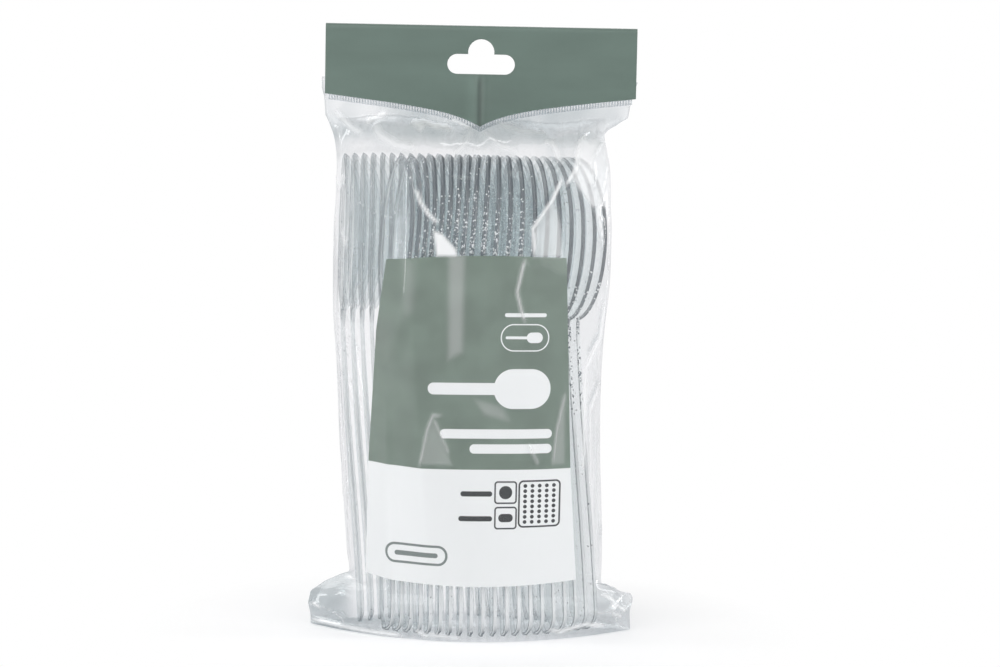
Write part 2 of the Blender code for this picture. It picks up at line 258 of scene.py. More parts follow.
# The floor: its half width, and where its shadows fade into plain white.
FLOOR_HALF = 2000.0
FLOOR_NEAR = 40.0
FLOOR_FAR = 100.0
FLOOR_GLOW = 0.18


def linear(code):
    """Linear colour of an sRGB hex value, with an alpha of 1."""
    channels = [int(code[place:place + 2], 16) / 255 for place in (0, 2, 4)]
    return (*(c / 12.92 if c <= 0.04045 else ((c + 0.055) / 1.055) ** 2.4 for c in channels), 1.0)


def size_property(name, description, size):
    """A size that a user can change, given in millimetres."""
    return FloatProperty(name=name, description=description, default=size * MM, unit="LENGTH")


def angle_property(name, description, degrees):
    """An angle that a user can change, given in degrees."""
    return FloatProperty(name=name, description=description, default=math.radians(degrees), unit="ROTATION")


def share_property(name, description, value):
    """A share from 0 to 1 that a user can change."""
    return FloatProperty(name=name, description=description, default=value, subtype="FACTOR")


def colour_property(name, description, code):
    """A colour that a user can change, given as an sRGB hex value."""
    return FloatVectorProperty(
        name=name, description=description, default=linear(code), subtype="COLOR", size=4
    )


class SpoonSettings(PropertyGroup):
    """Sizes and colours of the spoons."""

    wall: size_property("Wall", "Thickness of the plastic", 1.0)
    rim_round: size_property("Rim round", "Radius of a spoon's edge", 0.32)
    fleck: size_property("Fleck", "Spacing of the glitter flecks", 0.45)
    plastic: colour_property("Plastic", "Tint of one face of the wall", "fdfefe")
    bent: colour_property("Bent", "Tint of a face that turns away", "d6dbde")
    haze: colour_property("Haze", "Fine glitter in the plastic", "b6bdc1")
    # Edge colours are painted: rim, core and low rim as painted shade, low core as a painted highlight;
    # flecks as painted shade and glints.
    rim: colour_property("Rim", "Sides of a bowl's edge", "3d454c")
    core: colour_property("Core", "Middle of a bowl's edge", "566067")
    low_rim: colour_property("Low rim", "Sides of a handle's edge", "656e74")
    low_core: colour_property("Low core", "Middle of a handle's edge", "fafcfc")
    dark_fleck: colour_property("Dark fleck", "Glitter that turns away from the light", "646e74")
    bright_fleck: colour_property("Bright fleck", "Glitter that catches the light", "fbfdfd")
    haze_cover: share_property("Haze cover", "How much the fine glitter hides", 0.04)
    fleck_cover: share_property("Fleck cover", "How much a fleck hides", 0.5)
    inner_cover: share_property("Inner cover", "How much an inner edge hides", 0.09)
    rim_cover: share_property("Rim cover", "How much an outer edge hides", 0.9)


class FilmSettings(PropertyGroup):
    """Sizes and colours of the film pouch."""

    slack: size_property("Slack", "From the spoons to the film", 1.4)
    ripple: size_property("Ripple", "Height of the loose film's waves", 0.55)
    crumple: size_property("Crumple", "Height of the crumples at the ears", 1.3)
    clear: colour_property("Clear", "Tint of one film", "fdfdfe")
    # Tint of denser gathered film, also used for painted shade.
    density_and_shade: colour_property("Dense", "Tint of gathered film", "dde1e3")
    # The colour of the painted highlights on the film's folds.
    scatter: colour_property("Scatter", "Colour of a white fold", "fdfeff")


class PrintSettings(PropertyGroup):
    """Colours of the inks."""

    green: colour_property("Green", "Green ink", "75867a")
    white: colour_property("White", "White ink", "fafcfb")
    grey: colour_property("Grey", "Grey ink on the white field", "7d8784")
    dark: colour_property("Dark", "Dark ink on the white field", "2a2e30")
    header: colour_property("Header", "Green ink of the header", "62746c")


class StageSettings(PropertyGroup):
    """The camera and the studio."""

    distance: size_property("Distance", "From the camera to the pack", 750.0)
    height: size_property("Height", "Height of the camera", 152.66)
    side: size_property("Side", "Place of the camera along X", 7.15)
    pitch: angle_property("Pitch", "How far the camera looks down", 4.859)
    roll: angle_property("Roll", "Turn of the picture", 1.111)
    lens: FloatProperty(name="Lens", description="Focal length in millimetres", default=90.79)
    daylight: share_property("Daylight", "Strength of the world's light", 0.35)
    paper: colour_property("Paper", "Colour of the floor", "f3f3f4")


def smooth(share):
    """A smooth step from 0 to 1, for a number or an array."""
    share = np.clip(share, 0.0, 1.0)
    return share * share * (3.0 - 2.0 * share)


def ramp(value, start, end):
    """A smooth step from 0 at one value to 1 at another."""
    return smooth((value - start) / (end - start))


def ridged(field):
    """Noise turned into sharp ridges: 1 on a ridge and -1 farthest from one."""
    return 1.0 - 2.0 * np.abs(field)


def add(tree, kind, inputs=(), out=0, **settings):
    """Adds a shader node with its settings, and its inputs as values or links. Returns one output."""
    made = tree.nodes.new("ShaderNode" + kind)
    for name, value in settings.items():
        setattr(made, name, value)
    for key, value in inputs.items() if isinstance(inputs, dict) else enumerate(inputs):
        if isinstance(value, bpy.types.NodeSocket):
            tree.links.new(value, made.inputs[key])
        else:
            made.inputs[key].default_value = value
    return made.outputs[out] if made.outputs else None


def new_material(name):
    """An empty material. Returns it and its node tree."""
    made = bpy.data.materials.new(name)
    made.use_nodes = True
    made.node_tree.nodes.clear()
    return made, made.node_tree


def finish_material(tree, shader):
    """Links a shader to the material's surface."""
    add(tree, "OutputMaterial", (shader,))


def new_object(name, data):
    """A new object in the scene."""
    made = bpy.data.objects.new(name, data)
    bpy.context.scene.collection.objects.link(made)
    return made


def modify(blank, kind, **settings):
    """Gives an object a modifier with its settings."""
    made = blank.modifiers.new(kind.lower(), kind)
    for name, value in settings.items():
        setattr(made, name, value)


def applied(blank, *helpers):
    """The mesh of an object with its modifiers applied. It removes the object and its helpers."""
    graph = bpy.context.evaluated_depsgraph_get()
    made = bpy.data.meshes.new_from_object(blank.evaluated_get(graph))
    for used in (blank, *helpers):
        bpy.data.objects.remove(used)
    return made


def place_piece(name, mesh, replaced=()):
    """A piece of the pack in the scene, that rides on its one body."""
    piece = new_object(name, mesh)
    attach(piece, "root")
    if replaced:
        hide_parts(*replaced)
    return piece


def grid_mesh(name, points, closed=False):
    """A smooth mesh over a grid of points in millimetres, joined across its last column if it is closed."""
    rows, columns = points.shape[:2]
    index = np.arange(rows * columns).reshape(rows, columns)
    after = np.roll(index, -1, axis=1)
    last = columns if closed else columns - 1
    corners = np.stack((index[:-1], after[:-1], after[1:], index[1:]), axis=2)[:, :last]
    mesh = bpy.data.meshes.new(name)
    mesh.from_pydata((points.reshape(-1, 3) * MM).tolist(), [], corners.reshape(-1, 4).tolist())
    mesh.shade_smooth()
    return mesh


def paint(mesh, name, values):
    """Stores a number for each vertex, for a material to read."""
    layer = mesh.attributes.new(name, "FLOAT", "POINT")
    layer.data.foreach_set("value", np.asarray(values, np.float32).ravel())


def spoon_stations():
    """Rows of height, half width, place of the edges and crown, from the handle's end to the bowl's tip."""
    rows = []
    end_radius = HANDLE_END_WIDTH / 2
    corner = math.radians(END_CORNER)
    for angle in np.linspace(corner, math.pi / 2, END_ROUND_STEPS):
        height = end_radius * (math.cos(corner) - math.cos(angle))
        rows.append((height, end_radius * math.sin(angle), 0.0))
    round_height = rows[-1][0]
    for step in range(1, SHANK_STEPS):
        share = step / SHANK_STEPS
        height = round_height + (NECK_HEIGHT - round_height) * share
        rows.append((height, end_radius + (NECK_WIDTH / 2 - end_radius) * share, 0.0))
    first = math.asin(NECK_WIDTH / BOWL_WIDTH)
    last = math.pi - math.radians(TIP_CORNER)
    reach = math.cos(first) - math.cos(last)
    for angle in np.linspace(first, last, BOWL_STEPS):
        height = NECK_HEIGHT + BOWL_LENGTH * (math.cos(first) - math.cos(angle)) / reach
        rows.append((height, BOWL_WIDTH / 2 * math.sin(angle), math.sin(angle) ** BOWL_FULLNESS))
    stations = []
    for height, half, bowl in rows:
        edge = -NECK_RISE * smooth(height / NECK_HEIGHT)
        edge += (NECK_RISE - TIP_RISE) * smooth((height - NECK_HEIGHT) / BOWL_LENGTH)
        crown = BOWL_DEPTH * bowl
        if height < NECK_HEIGHT:
            crown -= HANDLE_CROWN * smooth((NECK_HEIGHT - height) / BOWL_LENGTH)
        stations.append((height, half, edge, crown))
    return np.array(stations, float)


def spoon_surface():
    """Grid of points on half of the spoon's middle surface, closer together towards its edge."""
    shares = np.sin(np.linspace(0.0, math.pi / 2, ACROSS_STEPS + 1))
    rows = []
    for height, half, edge, crown in spoon_stations():
        rows.append([(edge + crown * (1 - share * share), share * half, height) for share in shares])
    return np.array(rows)


def from_edge(points):
    """Distance in millimetres of points of the spoon from its outline, seen square to the bowl."""
    stations = spoon_stations()
    outline = stations[:, (1, 0)]
    flat = np.stack((np.abs(points[:, 1]), points[:, 2]), axis=1)
    best = np.full(len(flat), np.inf)
    for start, end in zip(outline, outline[1:]):
        run = end - start
        share = np.clip(((flat - start) @ run) / (run @ run), 0.0, 1.0)
        best = np.minimum(best, np.linalg.norm(flat - start - share[:, None] * run, axis=1))
    return best


def moulded_spoon(settings, plastic, outer_side):
    """A mesh for a row of spoons: the half surface mirrored, given its wall and its rounded rim.

    It marks the edge on the outer side of the pack, -1 in front and 1 behind, where the painted edge shade
    stays dark.
    """
    blank = new_object("teaspoon_blank", grid_mesh("teaspoon", spoon_surface()))
    modify(blank, "MIRROR", use_axis=(False, True, False), merge_threshold=0.02 * MM)
    modify(blank, "SOLIDIFY", thickness=settings.wall, offset=0.0, use_even_offset=True)
    modify(
        blank,
        "BEVEL",
        width=settings.rim_round,
        segments=2,
        limit_method="ANGLE",
        angle_limit=math.radians(SHARP_ANGLE),
    )
    made = applied(blank)
    points = np.zeros(len(made.vertices) * 3)
    made.vertices.foreach_get("co", points)
    points = points.reshape(-1, 3) / MM
    paint(made, "from_edge", from_edge(points))
    paint(made, "along", points[:, 2])
    outer = smooth(outer_side * points[:, 1] / OUTER_FADE + OUTER_START)
    paint(made, "outer", outer if outer_side < 0 else outer * BACK_EDGES)
    made.materials.clear()
    made.materials.append(plastic)
    made.shade_smooth()
    return made


def nested_row(turns, pitch, anchor, anchor_place):
    """Places from above of spoons nested one pitch apart, each step square to the spoons' width."""
    places = [np.zeros(2)]
    for before, after in zip(turns, turns[1:]):
        heading = math.radians((before + after) / 2)
        places.append(places[-1] + pitch * np.array((math.cos(heading), math.sin(heading))))
    return np.array(places) - places[anchor] + np.array(anchor_place)


def base_depth(x):
    """Depth of the boat-shaped base from its long middle line to its edge, at a place along it."""
    return BASE_DEPTH * (1.0 - np.minimum(np.abs(x) / EAR_REACH, 1.0) ** 2)


def foot_depth(x, turn, wall):
    """How far from the middle line a handle's end stands, with its outer edge just inside the base."""
    turn = math.radians(abs(turn))
    half = HANDLE_END_WIDTH / 2
    outer = abs(x) + half * math.sin(turn) + HANDLE_CROWN + wall
    return base_depth(outer) - FOOT_SLACK - half * math.cos(turn)


def front_row(wall):
    """Turn, place of the bowl and place of the foot of each spoon in the front row."""
    right_count = SPOONS_IN_ROW - 1 - SQUARE_SPOON
    turns = [FRONT_TURN_LEFT * (n / SQUARE_SPOON) ** TURN_POWER for n in range(SQUARE_SPOON, 0, -1)]
    turns += [FRONT_TURN_RIGHT * (n / right_count) ** TURN_POWER for n in range(right_count + 1)]
    row_y = ROWS_Y - (BOWL_WIDTH + ROW_GAP) / 2
    bowls = nested_row(turns, BOWL_PITCH, SQUARE_SPOON, (SQUARE_SPOON_X, row_y))
    feet = nested_row(turns, FRONT_FOOT_PITCH, SQUARE_SPOON, (SQUARE_FOOT_X, 0.0))
    for foot, turn in zip(feet, turns):
        foot[1] = -foot_depth(foot[0], turn, wall)
    return list(zip(turns, bowls, feet))


def back_row(wall):
    """Turn, place of the bowl and place of the foot of each spoon in the back row."""
    turns = [BACK_TURN_RIGHT * (n / (SPOONS_IN_ROW - 1)) ** TURN_POWER for n in range(SPOONS_IN_ROW)]
    row_y = ROWS_Y + (BOWL_WIDTH + ROW_GAP) / 2
    bowls = nested_row(turns, BOWL_PITCH, 0, (BACK_FIRST_X, row_y))
    feet = nested_row(turns, BACK_FOOT_PITCH, 0, (BACK_FIRST_FOOT_X, 0.0))
    for foot, turn in zip(feet, turns):
        foot[1] = foot_depth(foot[0], turn, wall)
    return list(zip(turns, bowls, feet))


def spoon_matrix(turn, bowl, foot):
    """Where a spoon stands: its foot on the pouch's floor, its long axis through its bowl's place."""
    origin = Vector((foot[0], foot[1], FOOT_HEIGHT))
    long_axis = (Vector((bowl[0], bowl[1], BOWL_ANCHOR)) - origin).normalized()
    turn = math.radians(turn)
    across = Vector((-math.sin(turn), math.cos(turn), 0.0))
    out = across.cross(long_axis).normalized()
    across = long_axis.cross(out)
    matrix = Matrix((out, across, long_axis)).transposed().to_4x4()
    matrix.translation = origin * MM
    return matrix


def spoon_places():
    """(name of the node, matrix) of each spoon."""
    wall = bpy.context.scene.spoon_settings.wall / MM
    places = []
    for row, spoons in (("front", front_row(wall)), ("back", back_row(wall))):
        for number, spoon in enumerate(spoons, start=1):
            places.append((f"spoon_{row}_{number:02d}", spoon_matrix(*spoon)))
    return places


def spoon_points():
    """Points over all the spoons, in millimetres."""
    half = spoon_surface().reshape(-1, 3)
    whole = np.concatenate((half, half * (1.0, -1.0, 1.0)))
    found = []
    for _, matrix in spoon_places():
        turn = np.array(matrix.to_3x3())
        found.append(whole @ turn.T + np.array(matrix.translation) / MM)
    return np.concatenate(found)


def wrap(points, angles, slack):
    """Radius at each angle of a film drawn tight, at its slack, round points seen from above."""
    headings = np.linspace(0.0, 2 * math.pi, 180, endpoint=False)
    normals = np.stack((np.cos(headings), np.sin(headings)))
    reach = (points[:, :2] @ normals).max(axis=0) + slack
    facing = np.cos(angles[:, None] - headings[None, :])
    radii = np.where(facing > TIGHTEST_WRAP, reach / np.maximum(facing, TIGHTEST_WRAP), np.inf)
    return radii.min(axis=1)


def blurred(grid, spread, axis):
    """An array smoothed by a bell curve along one axis, in steps of that axis."""
    reach = int(3 * spread)
    weights = np.exp(-0.5 * (np.arange(-reach, reach + 1) / spread) ** 2)
    mode = "wrap" if axis == 1 else "edge"
    padding = [(0, 0), (0, 0)]
    padding[axis] = (reach, reach)
    padded = np.pad(grid, padding, mode=mode)
    result = np.zeros_like(grid)
    for place, weight in enumerate(weights / weights.sum()):
        result += weight * np.take(padded, np.arange(place, place + grid.shape[axis]), axis=axis)
    return result


def film_grid(points, slack):
    """Grid of points on the film before it folds, from the base to the mouth."""
    behind = np.linspace(0.0, math.pi, BACK_COLUMNS, endpoint=False)
    before = np.linspace(math.pi, 2 * math.pi, FRONT_COLUMNS, endpoint=False)
    angles = np.concatenate((behind, before))
    directions = np.stack((np.cos(angles), np.sin(angles)), axis=1)
    heights = np.linspace(0.0, MOUTH_HEIGHT, ROWS)
    step = heights[1]
    feet = wrap(points[points[:, 2] < SHOULDER_HEIGHT], angles, slack)
    bowls = wrap(points[points[:, 2] > NECK_HEIGHT], angles, slack)
    widest = NECK_HEIGHT + BOWL_LENGTH / 4
    radii = []
    for height in heights:
        level = min(max(height, SHOULDER_HEIGHT), DOME_START)
        share = min(max((level - SHOULDER_HEIGHT) / (widest - SHOULDER_HEIGHT), 0.0), 1.0)
        near = points[np.abs(points[:, 2] - level) < WRAP_REACH]
        radii.append(np.maximum(feet + (bowls - feet) * share, wrap(near, angles, slack)))
    radii = blurred(blurred(np.array(radii), WRAP_BLUR / step, 0), WRAP_BLUR_COLUMNS, 1)
    body = directions[None] * radii[:, :, None]
    leaf_share = np.interp(angles, (0, math.pi, 2 * math.pi), (1, -1, 1))
    edge_rise = header_edge(leaf_share * HEADER_WIDTH / 2) - LEAF_START
    leaf_start = LEAF_START + LEAF_FOLLOWS * edge_rise + LEAF_WOBBLE * np.sin(LEAF_WOBBLES * leaf_share)
    leaf_y = LEAF_HALF_THICKNESS * np.sign(np.round(directions[:, 1], 9))
    base_y = np.copysign(base_depth(directions[:, 0] * EAR_REACH), directions[:, 1])
    base_y[np.abs(directions[:, 1]) < 1e-9] = 0.0
    grid = np.zeros((ROWS, COLUMNS, 3))
    for row, height in enumerate(heights):
        x, y = body[row].T
        if height < SHOULDER_HEIGHT:
            share = float(ramp(height, EAR_HEIGHT, SHOULDER_HEIGHT))
            x = directions[:, 0] * EAR_REACH * (1 - share) + x * share
            y = base_y * (1 - share) + y * share
        elif height > DOME_START:
            share = np.minimum((height - DOME_START) / (leaf_start - DOME_START), 1.0)
            reach = np.where(leaf_share > 0, np.interp(height, *LEAF_RIGHT), np.interp(height, *LEAF_LEFT))
            leaf_x = leaf_share * reach
            x = x + (leaf_x - x) * share ** SIDE_POWER
            y = y + (leaf_y - y) * share ** DOME_POWER
        grid[row] = np.stack((x, y, np.full(COLUMNS, height)), axis=1)
    return grid


def grid_normals(grid):
    """Outward directions at the points of a closed grid."""
    around = np.roll(grid, -1, axis=1) - np.roll(grid, 1, axis=1)
    up = np.gradient(grid, axis=0)
    normals = np.cross(around, up)
    return normals / np.maximum(np.linalg.norm(normals, axis=2, keepdims=True), 1e-9)


def noise_field(grid, size, seed):
    """Smooth noise from -1 to 1 at each point of a grid, with its size in millimetres on each axis."""
    flat = grid.reshape(-1, 3) / np.array(size) + seed
    return np.array([noise.noise(point) for point in flat.tolist()]).reshape(grid.shape[:2])


def from_line(grid, line):
    """Distance in the X-Z plane from a line through chosen points, and the share of the way along it."""
    flat = grid[:, :, (0, 2)]
    lengths = [math.dist(start, end) for start, end in zip(line, line[1:])]
    best = np.full(flat.shape[:2], np.inf)
    along = np.zeros(flat.shape[:2])
    done = 0.0
    for start, end, length in zip(line, line[1:], lengths):
        run = np.subtract(end, start)
        share = np.clip(((flat - start) @ run) / length ** 2, 0.0, 1.0)
        distance = np.linalg.norm(flat - start - share[:, :, None] * run, axis=2)
        nearer = distance < best
        best = np.where(nearer, distance, best)
        along = np.where(nearer, (done + share * length) / sum(lengths), along)
        done += length
    return best, along


# Folds of the front film: points (x, z), height of the ridge, its width, and how white its painted
# highlight is.
FRONT_FOLDS = (
    (((-44.9, 154.6), (-43.1, 151.7), (-41.3, 148.7), (-40.8, 143.2), (-40.4, 132.0)), 0.5, 1.6, 0.20),
    (((-33.0, 150.6), (-30.4, 152.2), (-27.9, 154.2)), 0.6, 1.9, 1.0),
    (((-30.7, 150.4), (-28.4, 147.0), (-23.3, 144.6), (-18.0, 143.6)), 0.8, 2.6, 0.5),
    (((-19.9, 151.7), (-16.4, 148.9)), 0.6, 1.9, 1.0),
    (((-18.1, 151.5), (-13.8, 150.1), (-10.0, 149.6), (-8.3, 148.5)), 0.7, 1.3, 1.0),
    (((-8.4, 152.8), (-4.8, 150.6), (-2.5, 148.9)), 0.4, 1.2, 0.9),
    (((-43.2, 154.4), (-37.7, 149.1), (-34.2, 147.4)), 0.4, 1.6, 0.55),
    (((-2.5, 148.9), (-3.5, 145.5), (-7.0, 142.0)), 0.5, 1.8, 0.35),
    (((1.1, 148.6), (6.1, 144.6), (11.6, 143.1)), 0.7, 2.2, 0.3),
    (((4.0, 152.0), (12.0, 149.0), (20.0, 148.6)), 0.4, 1.6, 0.4),
    (((18.9, 145.8), (21.2, 145.8), (23.0, 140.8)), 0.5, 1.4, 0.6),
    (((31.5, 148.5), (29.2, 146.0), (27.3, 137.8), (25.0, 134.0)), 0.8, 0.7, 0.8),
    (((36.0, 146.5), (31.8, 140.1), (32.8, 133.7)), 0.7, 0.7, 0.8),
    (((37.4, 141.0), (36.5, 135.5), (34.4, 126.8), (36.0, 118.0)), 0.5, 0.6, 0.75),
    (((43.5, 153.0), (40.8, 149.5), (37.7, 146.0)), 0.3, 0.6, 0.6),
    (((-42.6, 135.4), (-41.1, 131.6), (-40.1, 133.1), (-39.8, 136.0)), 0.4, 0.5, 0.6),
    (((-17.6, 132.5), (-16.2, 128.8), (-14.0, 125.5), (-11.2, 122.9)), 0.6, 0.4, 0.9),
    (((23.8, 136.0), (21.1, 129.6), (15.9, 121.6), (16.6, 113.6)), 0.9, 0.6, 0.9),
    (((13.7, 112.7), (11.8, 103.5), (13.2, 97.7), (14.3, 94.8)), 0.6, 0.45, 0.55),
    (((-9.3, 67.3), (-11.7, 67.4), (-13.3, 63.1), (-14.5, 55.9), (-15.2, 52.4)), 0.6, 0.7, 0.4),
    (((-11.5, 66.5), (-8.2, 59.0), (-6.9, 56.0)), 0.5, 0.6, 0.35),
    (((26.3, 73.8), (24.3, 63.6), (23.2, 52.9)), 0.5, 0.6, 0.4),
    (((15.9, 59.0), (18.9, 53.1)), 0.4, 0.8, 0.3),
    (((37.2, 100.0), (35.9, 89.7), (32.2, 81.0), (32.0, 72.4), (32.4, 50.0)), 0.4, 0.5, 0.7),
    (((36.6, 76.8), (33.8, 68.1), (34.6, 45.0)), 0.4, 0.5, 0.6),
    (((36.8, 62.0), (36.6, 38.0), (37.2, 19.0)), 0.3, 0.5, 0.5),
    (((-47.6, 1.6), (-33.3, 1.3), (-19.7, 0.9)), 0.9, 0.6, 0.9),
    (((-15.7, 2.9), (-12.0, 1.1)), 0.4, 0.5, 0.7),
    (((-12.7, 2.0), (-2.6, 1.2)), 0.5, 0.5, 0.6),
    (((23.0, 3.4), (26.5, 2.4), (33.8, 3.9), (40.0, 2.6)), 0.6, 0.5, 0.8),
    (((-46.6, 6.9), (-44.4, 5.9)), 0.5, 0.6, 0.8),
    (((-39.4, 14.5), (-34.6, 14.2)), 0.4, 0.6, 0.6),
    (((39.0, 12.2), (43.0, 8.6), (41.4, 7.2)), 0.6, 0.5, 0.9),
    (((43.0, 8.6), (46.0, 6.0)), 0.5, 0.5, 0.7),
    (((41.4, 6.2), (45.0, 4.7)), 0.5, 0.5, 0.7),
)

# Flat places of the front film that catch the light, painted white as highlights: corners (x, z), how white
# the painted highlight is, and the width of its soft edge.
FRONT_GLARES = (
    (((-12.6, 123.0), (-11.3, 113.6), (-5.5, 113.6), (-6.9, 118.5), (-9.6, 119.6)), 0.95, 1.2),
    (((21.6, 130.5), (15.9, 121.6), (16.6, 113.6), (24.8, 113.6), (24.0, 122.0)), 0.4, 1.5),
    (((-7.8, 114.0), (-7.4, 84.0), (-3.6, 86.0), (-3.4, 114.0)), 0.24, 2.6),
    (((-20.6, 112.0), (-20.2, 96.0), (-17.6, 98.0), (-17.6, 112.0)), 0.12, 3.0),
    (((-11.7, 67.4), (-15.4, 52.8), (-6.0, 52.8), (-8.2, 59.0)), 0.2, 1.5),
    (((0.6, 72.0), (3.2, 67.6), (10.3, 66.0), (8.0, 70.0)), 0.2, 2.5),
    (((24.3, 63.6), (23.2, 52.8), (26.6, 52.8), (26.3, 73.8)), 0.2, 1.5),
    (((28.6, 146.5), (37.6, 147.2), (38.2, 128.0), (33.0, 128.0), (26.9, 136.0)), 0.55, 1.5),
)
FINEST_LINE = 0.5


def polygon_cover(grid, corners, soft):
    """1 inside a convex polygon in the X-Z plane and 0 outside, with a soft edge in millimetres."""
    flat = grid[:, :, (0, 2)]
    middle = np.mean(corners, axis=0)
    inside = np.full(flat.shape[:2], np.inf)
    for start, end in zip(corners, corners[1:] + corners[:1]):
        run = np.subtract(end, start)
        normal = np.array((-run[1], run[0])) / np.linalg.norm(run)
        if normal @ (middle - start) < 0:
            normal = -normal
        inside = np.minimum(inside, (flat - start) @ normal)
    return smooth(inside / soft + 0.5)


def fold_film(grid, settings):
    """The film with its folds, waves and crumples, its density with painted shade, and its painted
    highlights.
    """
    normals = grid_normals(grid)
    x, y, z = np.moveaxis(grid, 2, 0)
    reach = np.abs(x)
    front = ramp(y, 1.0, -1.0)
    lift = np.zeros(grid.shape[:2])
    white = np.zeros(grid.shape[:2])
    shade = np.zeros(grid.shape[:2])
    # Each fold fades towards its ends, with a painted highlight as a thin white crest and a painted grey
    # shade round it.
    for line, height, width, highlight_whiteness in FRONT_FOLDS:
        distance, along = from_line(grid, line)
        taper = smooth(np.minimum(along, 1 - along) * 6 + 0.35) * front
        lift += height * np.exp(-distance / width) * taper
        line_half = max(0.5 * width + 0.1, FINEST_LINE)
        shade = np.maximum(shade, np.exp(-(distance / (2.0 + width)) ** 2) * taper)
        white = np.maximum(white, highlight_whiteness * np.exp(-(distance / line_half) ** 2) * taper)
    # Flat places that catch the light get a painted highlight in white.
    for corners, highlight_whiteness, soft in FRONT_GLARES:
        white = np.maximum(white, highlight_whiteness * polygon_cover(grid, corners, soft) * front)
    # The film lies calmer where the spoons hold it, and looser above them.
    loose = 0.35 + 0.65 * ramp(z, *LOOSE_ZONE)
    waves = noise_field(grid, *FILM_WAVES) + 0.5 * noise_field(grid, *SMALL_WAVES)
    lift += settings.ripple / MM * waves * loose * ramp(z, *WAVES_END)
    gather = ramp(z, *GATHER_STARTS) * ramp(z, *GATHER_ENDS)
    ridges = ridged(noise_field(grid, *GATHERED_RIDGES))
    lift += GATHER_HEIGHT * ridges * gather
    # The ears crumple down to the hem, and the base between them a little.
    ear = ramp(reach, *EAR_REACHES) * ramp(z, *EAR_TOP)
    hem = 1.0 - ramp(z, *HEM_TOP)
    folds = ridged(noise_field(grid, *CRUMPLES))
    lift += settings.crumple / MM * folds * ear * (1.0 - 0.8 * hem)
    lift += BASE_FOLD_HEIGHT * folds * ramp(z, *BASE_FOLDS_TOP) * (1.0 - ear) * (1.0 - hem)
    # The sides are drawn into long upright streaks.
    side = ramp(reach, *SIDE_REACHES) * ramp(z, *SIDE_TOP) * ramp(z, *SIDE_BOTTOM)
    streaks = ridged(noise_field(grid, *SIDE_STREAKS))
    lift += STREAK_HEIGHT * streaks * side
    # The sharpest streaks, crumples and gathered ridges get painted highlights in white.
    white = np.maximum(white, STREAK_HIGHLIGHT * ramp(streaks, 0.8, 1.0) * side)
    white = np.maximum(white, CRUMPLE_HIGHLIGHT * ramp(folds, 0.84, 1.0) * ear)
    white = np.maximum(white, GATHER_HIGHLIGHT * ramp(ridges, 0.8, 1.0) * gather)
    # Gathered film looks denser below the header and at the ears. The grey round the folds is painted
    # shade, and the left ear is painted darker than the right.
    middle = np.exp(-(x / 24.0) ** 2) * ramp(z, *MIDDLE_STARTS)
    high = ramp(z, *DENSE_STARTS)
    density_and_shade = 0.02 + high * (0.4 + 0.35 * middle) + (0.6 - 0.006 * x) * ear
    density_and_shade += 0.4 * shade * ramp(z, *TOP_SHADE) + 0.25 * shade * ramp(z, *BASE_SHADE)
    clouds = noise_field(grid, *FILM_CLOUDS) + 0.5 * noise_field(grid, *SMALL_CLOUDS)
    density_and_shade += 0.5 * clouds * (high + ear)
    lift *= ramp(z, LEAF_START + 5.0, LEAF_START)
    return grid + normals * lift[:, :, None], np.clip(density_and_shade, 0, 1), np.clip(white, 0, 1)


def film_material():
    """Cast polypropylene film, 0.05 mm thick: clear and glossy, with a grey tint where it gathers.

    The white on its folds, ridges and flat places is painted highlight, and the grey tint is partly painted
    shade.
    """
    settings = bpy.context.scene.film_settings
    material, tree = new_material("clear_polypropylene_film_cast")
    # density_and_shade tints the film, partly as painted shade; the white attribute holds painted
    # highlights.
    density_and_shade, white = (add(tree, "Attribute", out="Fac", attribute_name=name) for name in ("density_and_shade", "white"))
    facing = add(tree, "LayerWeight", {"Blend": 0.35}, "Facing")
    deeper = add(tree, "Math", (facing, FILM_EDGE_TINT), operation="MULTIPLY")
    depth = add(tree, "Math", (deeper, density_and_shade), operation="ADD", use_clamp=True)
    tint = add(tree, "Mix", {0: depth, 6: settings.clear, 7: settings.density_and_shade}, 2, data_type="RGBA")
    clear = add(tree, "BsdfTransparent", (tint,))
    scatter = add(tree, "BsdfPrincipled", {"Base Color": settings.scatter, "Roughness": 0.3})
    # Where the white attribute holds a painted highlight, the film turns to its highlight colour.
    haze = add(tree, "MapRange", (white, 0.0, 1.0, *FILM_HAZE))
    body = add(tree, "MixShader", (haze, clear, scatter))
    gloss = add(tree, "BsdfGlossy", {"Roughness": FILM_ROUGHNESS})
    bounce = add(tree, "Fresnel", {"IOR": FILM_IOR})
    sheen = add(tree, "Math", (bounce, FILM_GLOSS), operation="MINIMUM")
    finish_material(tree, add(tree, "MixShader", (sheen, body, gloss)))
    return material


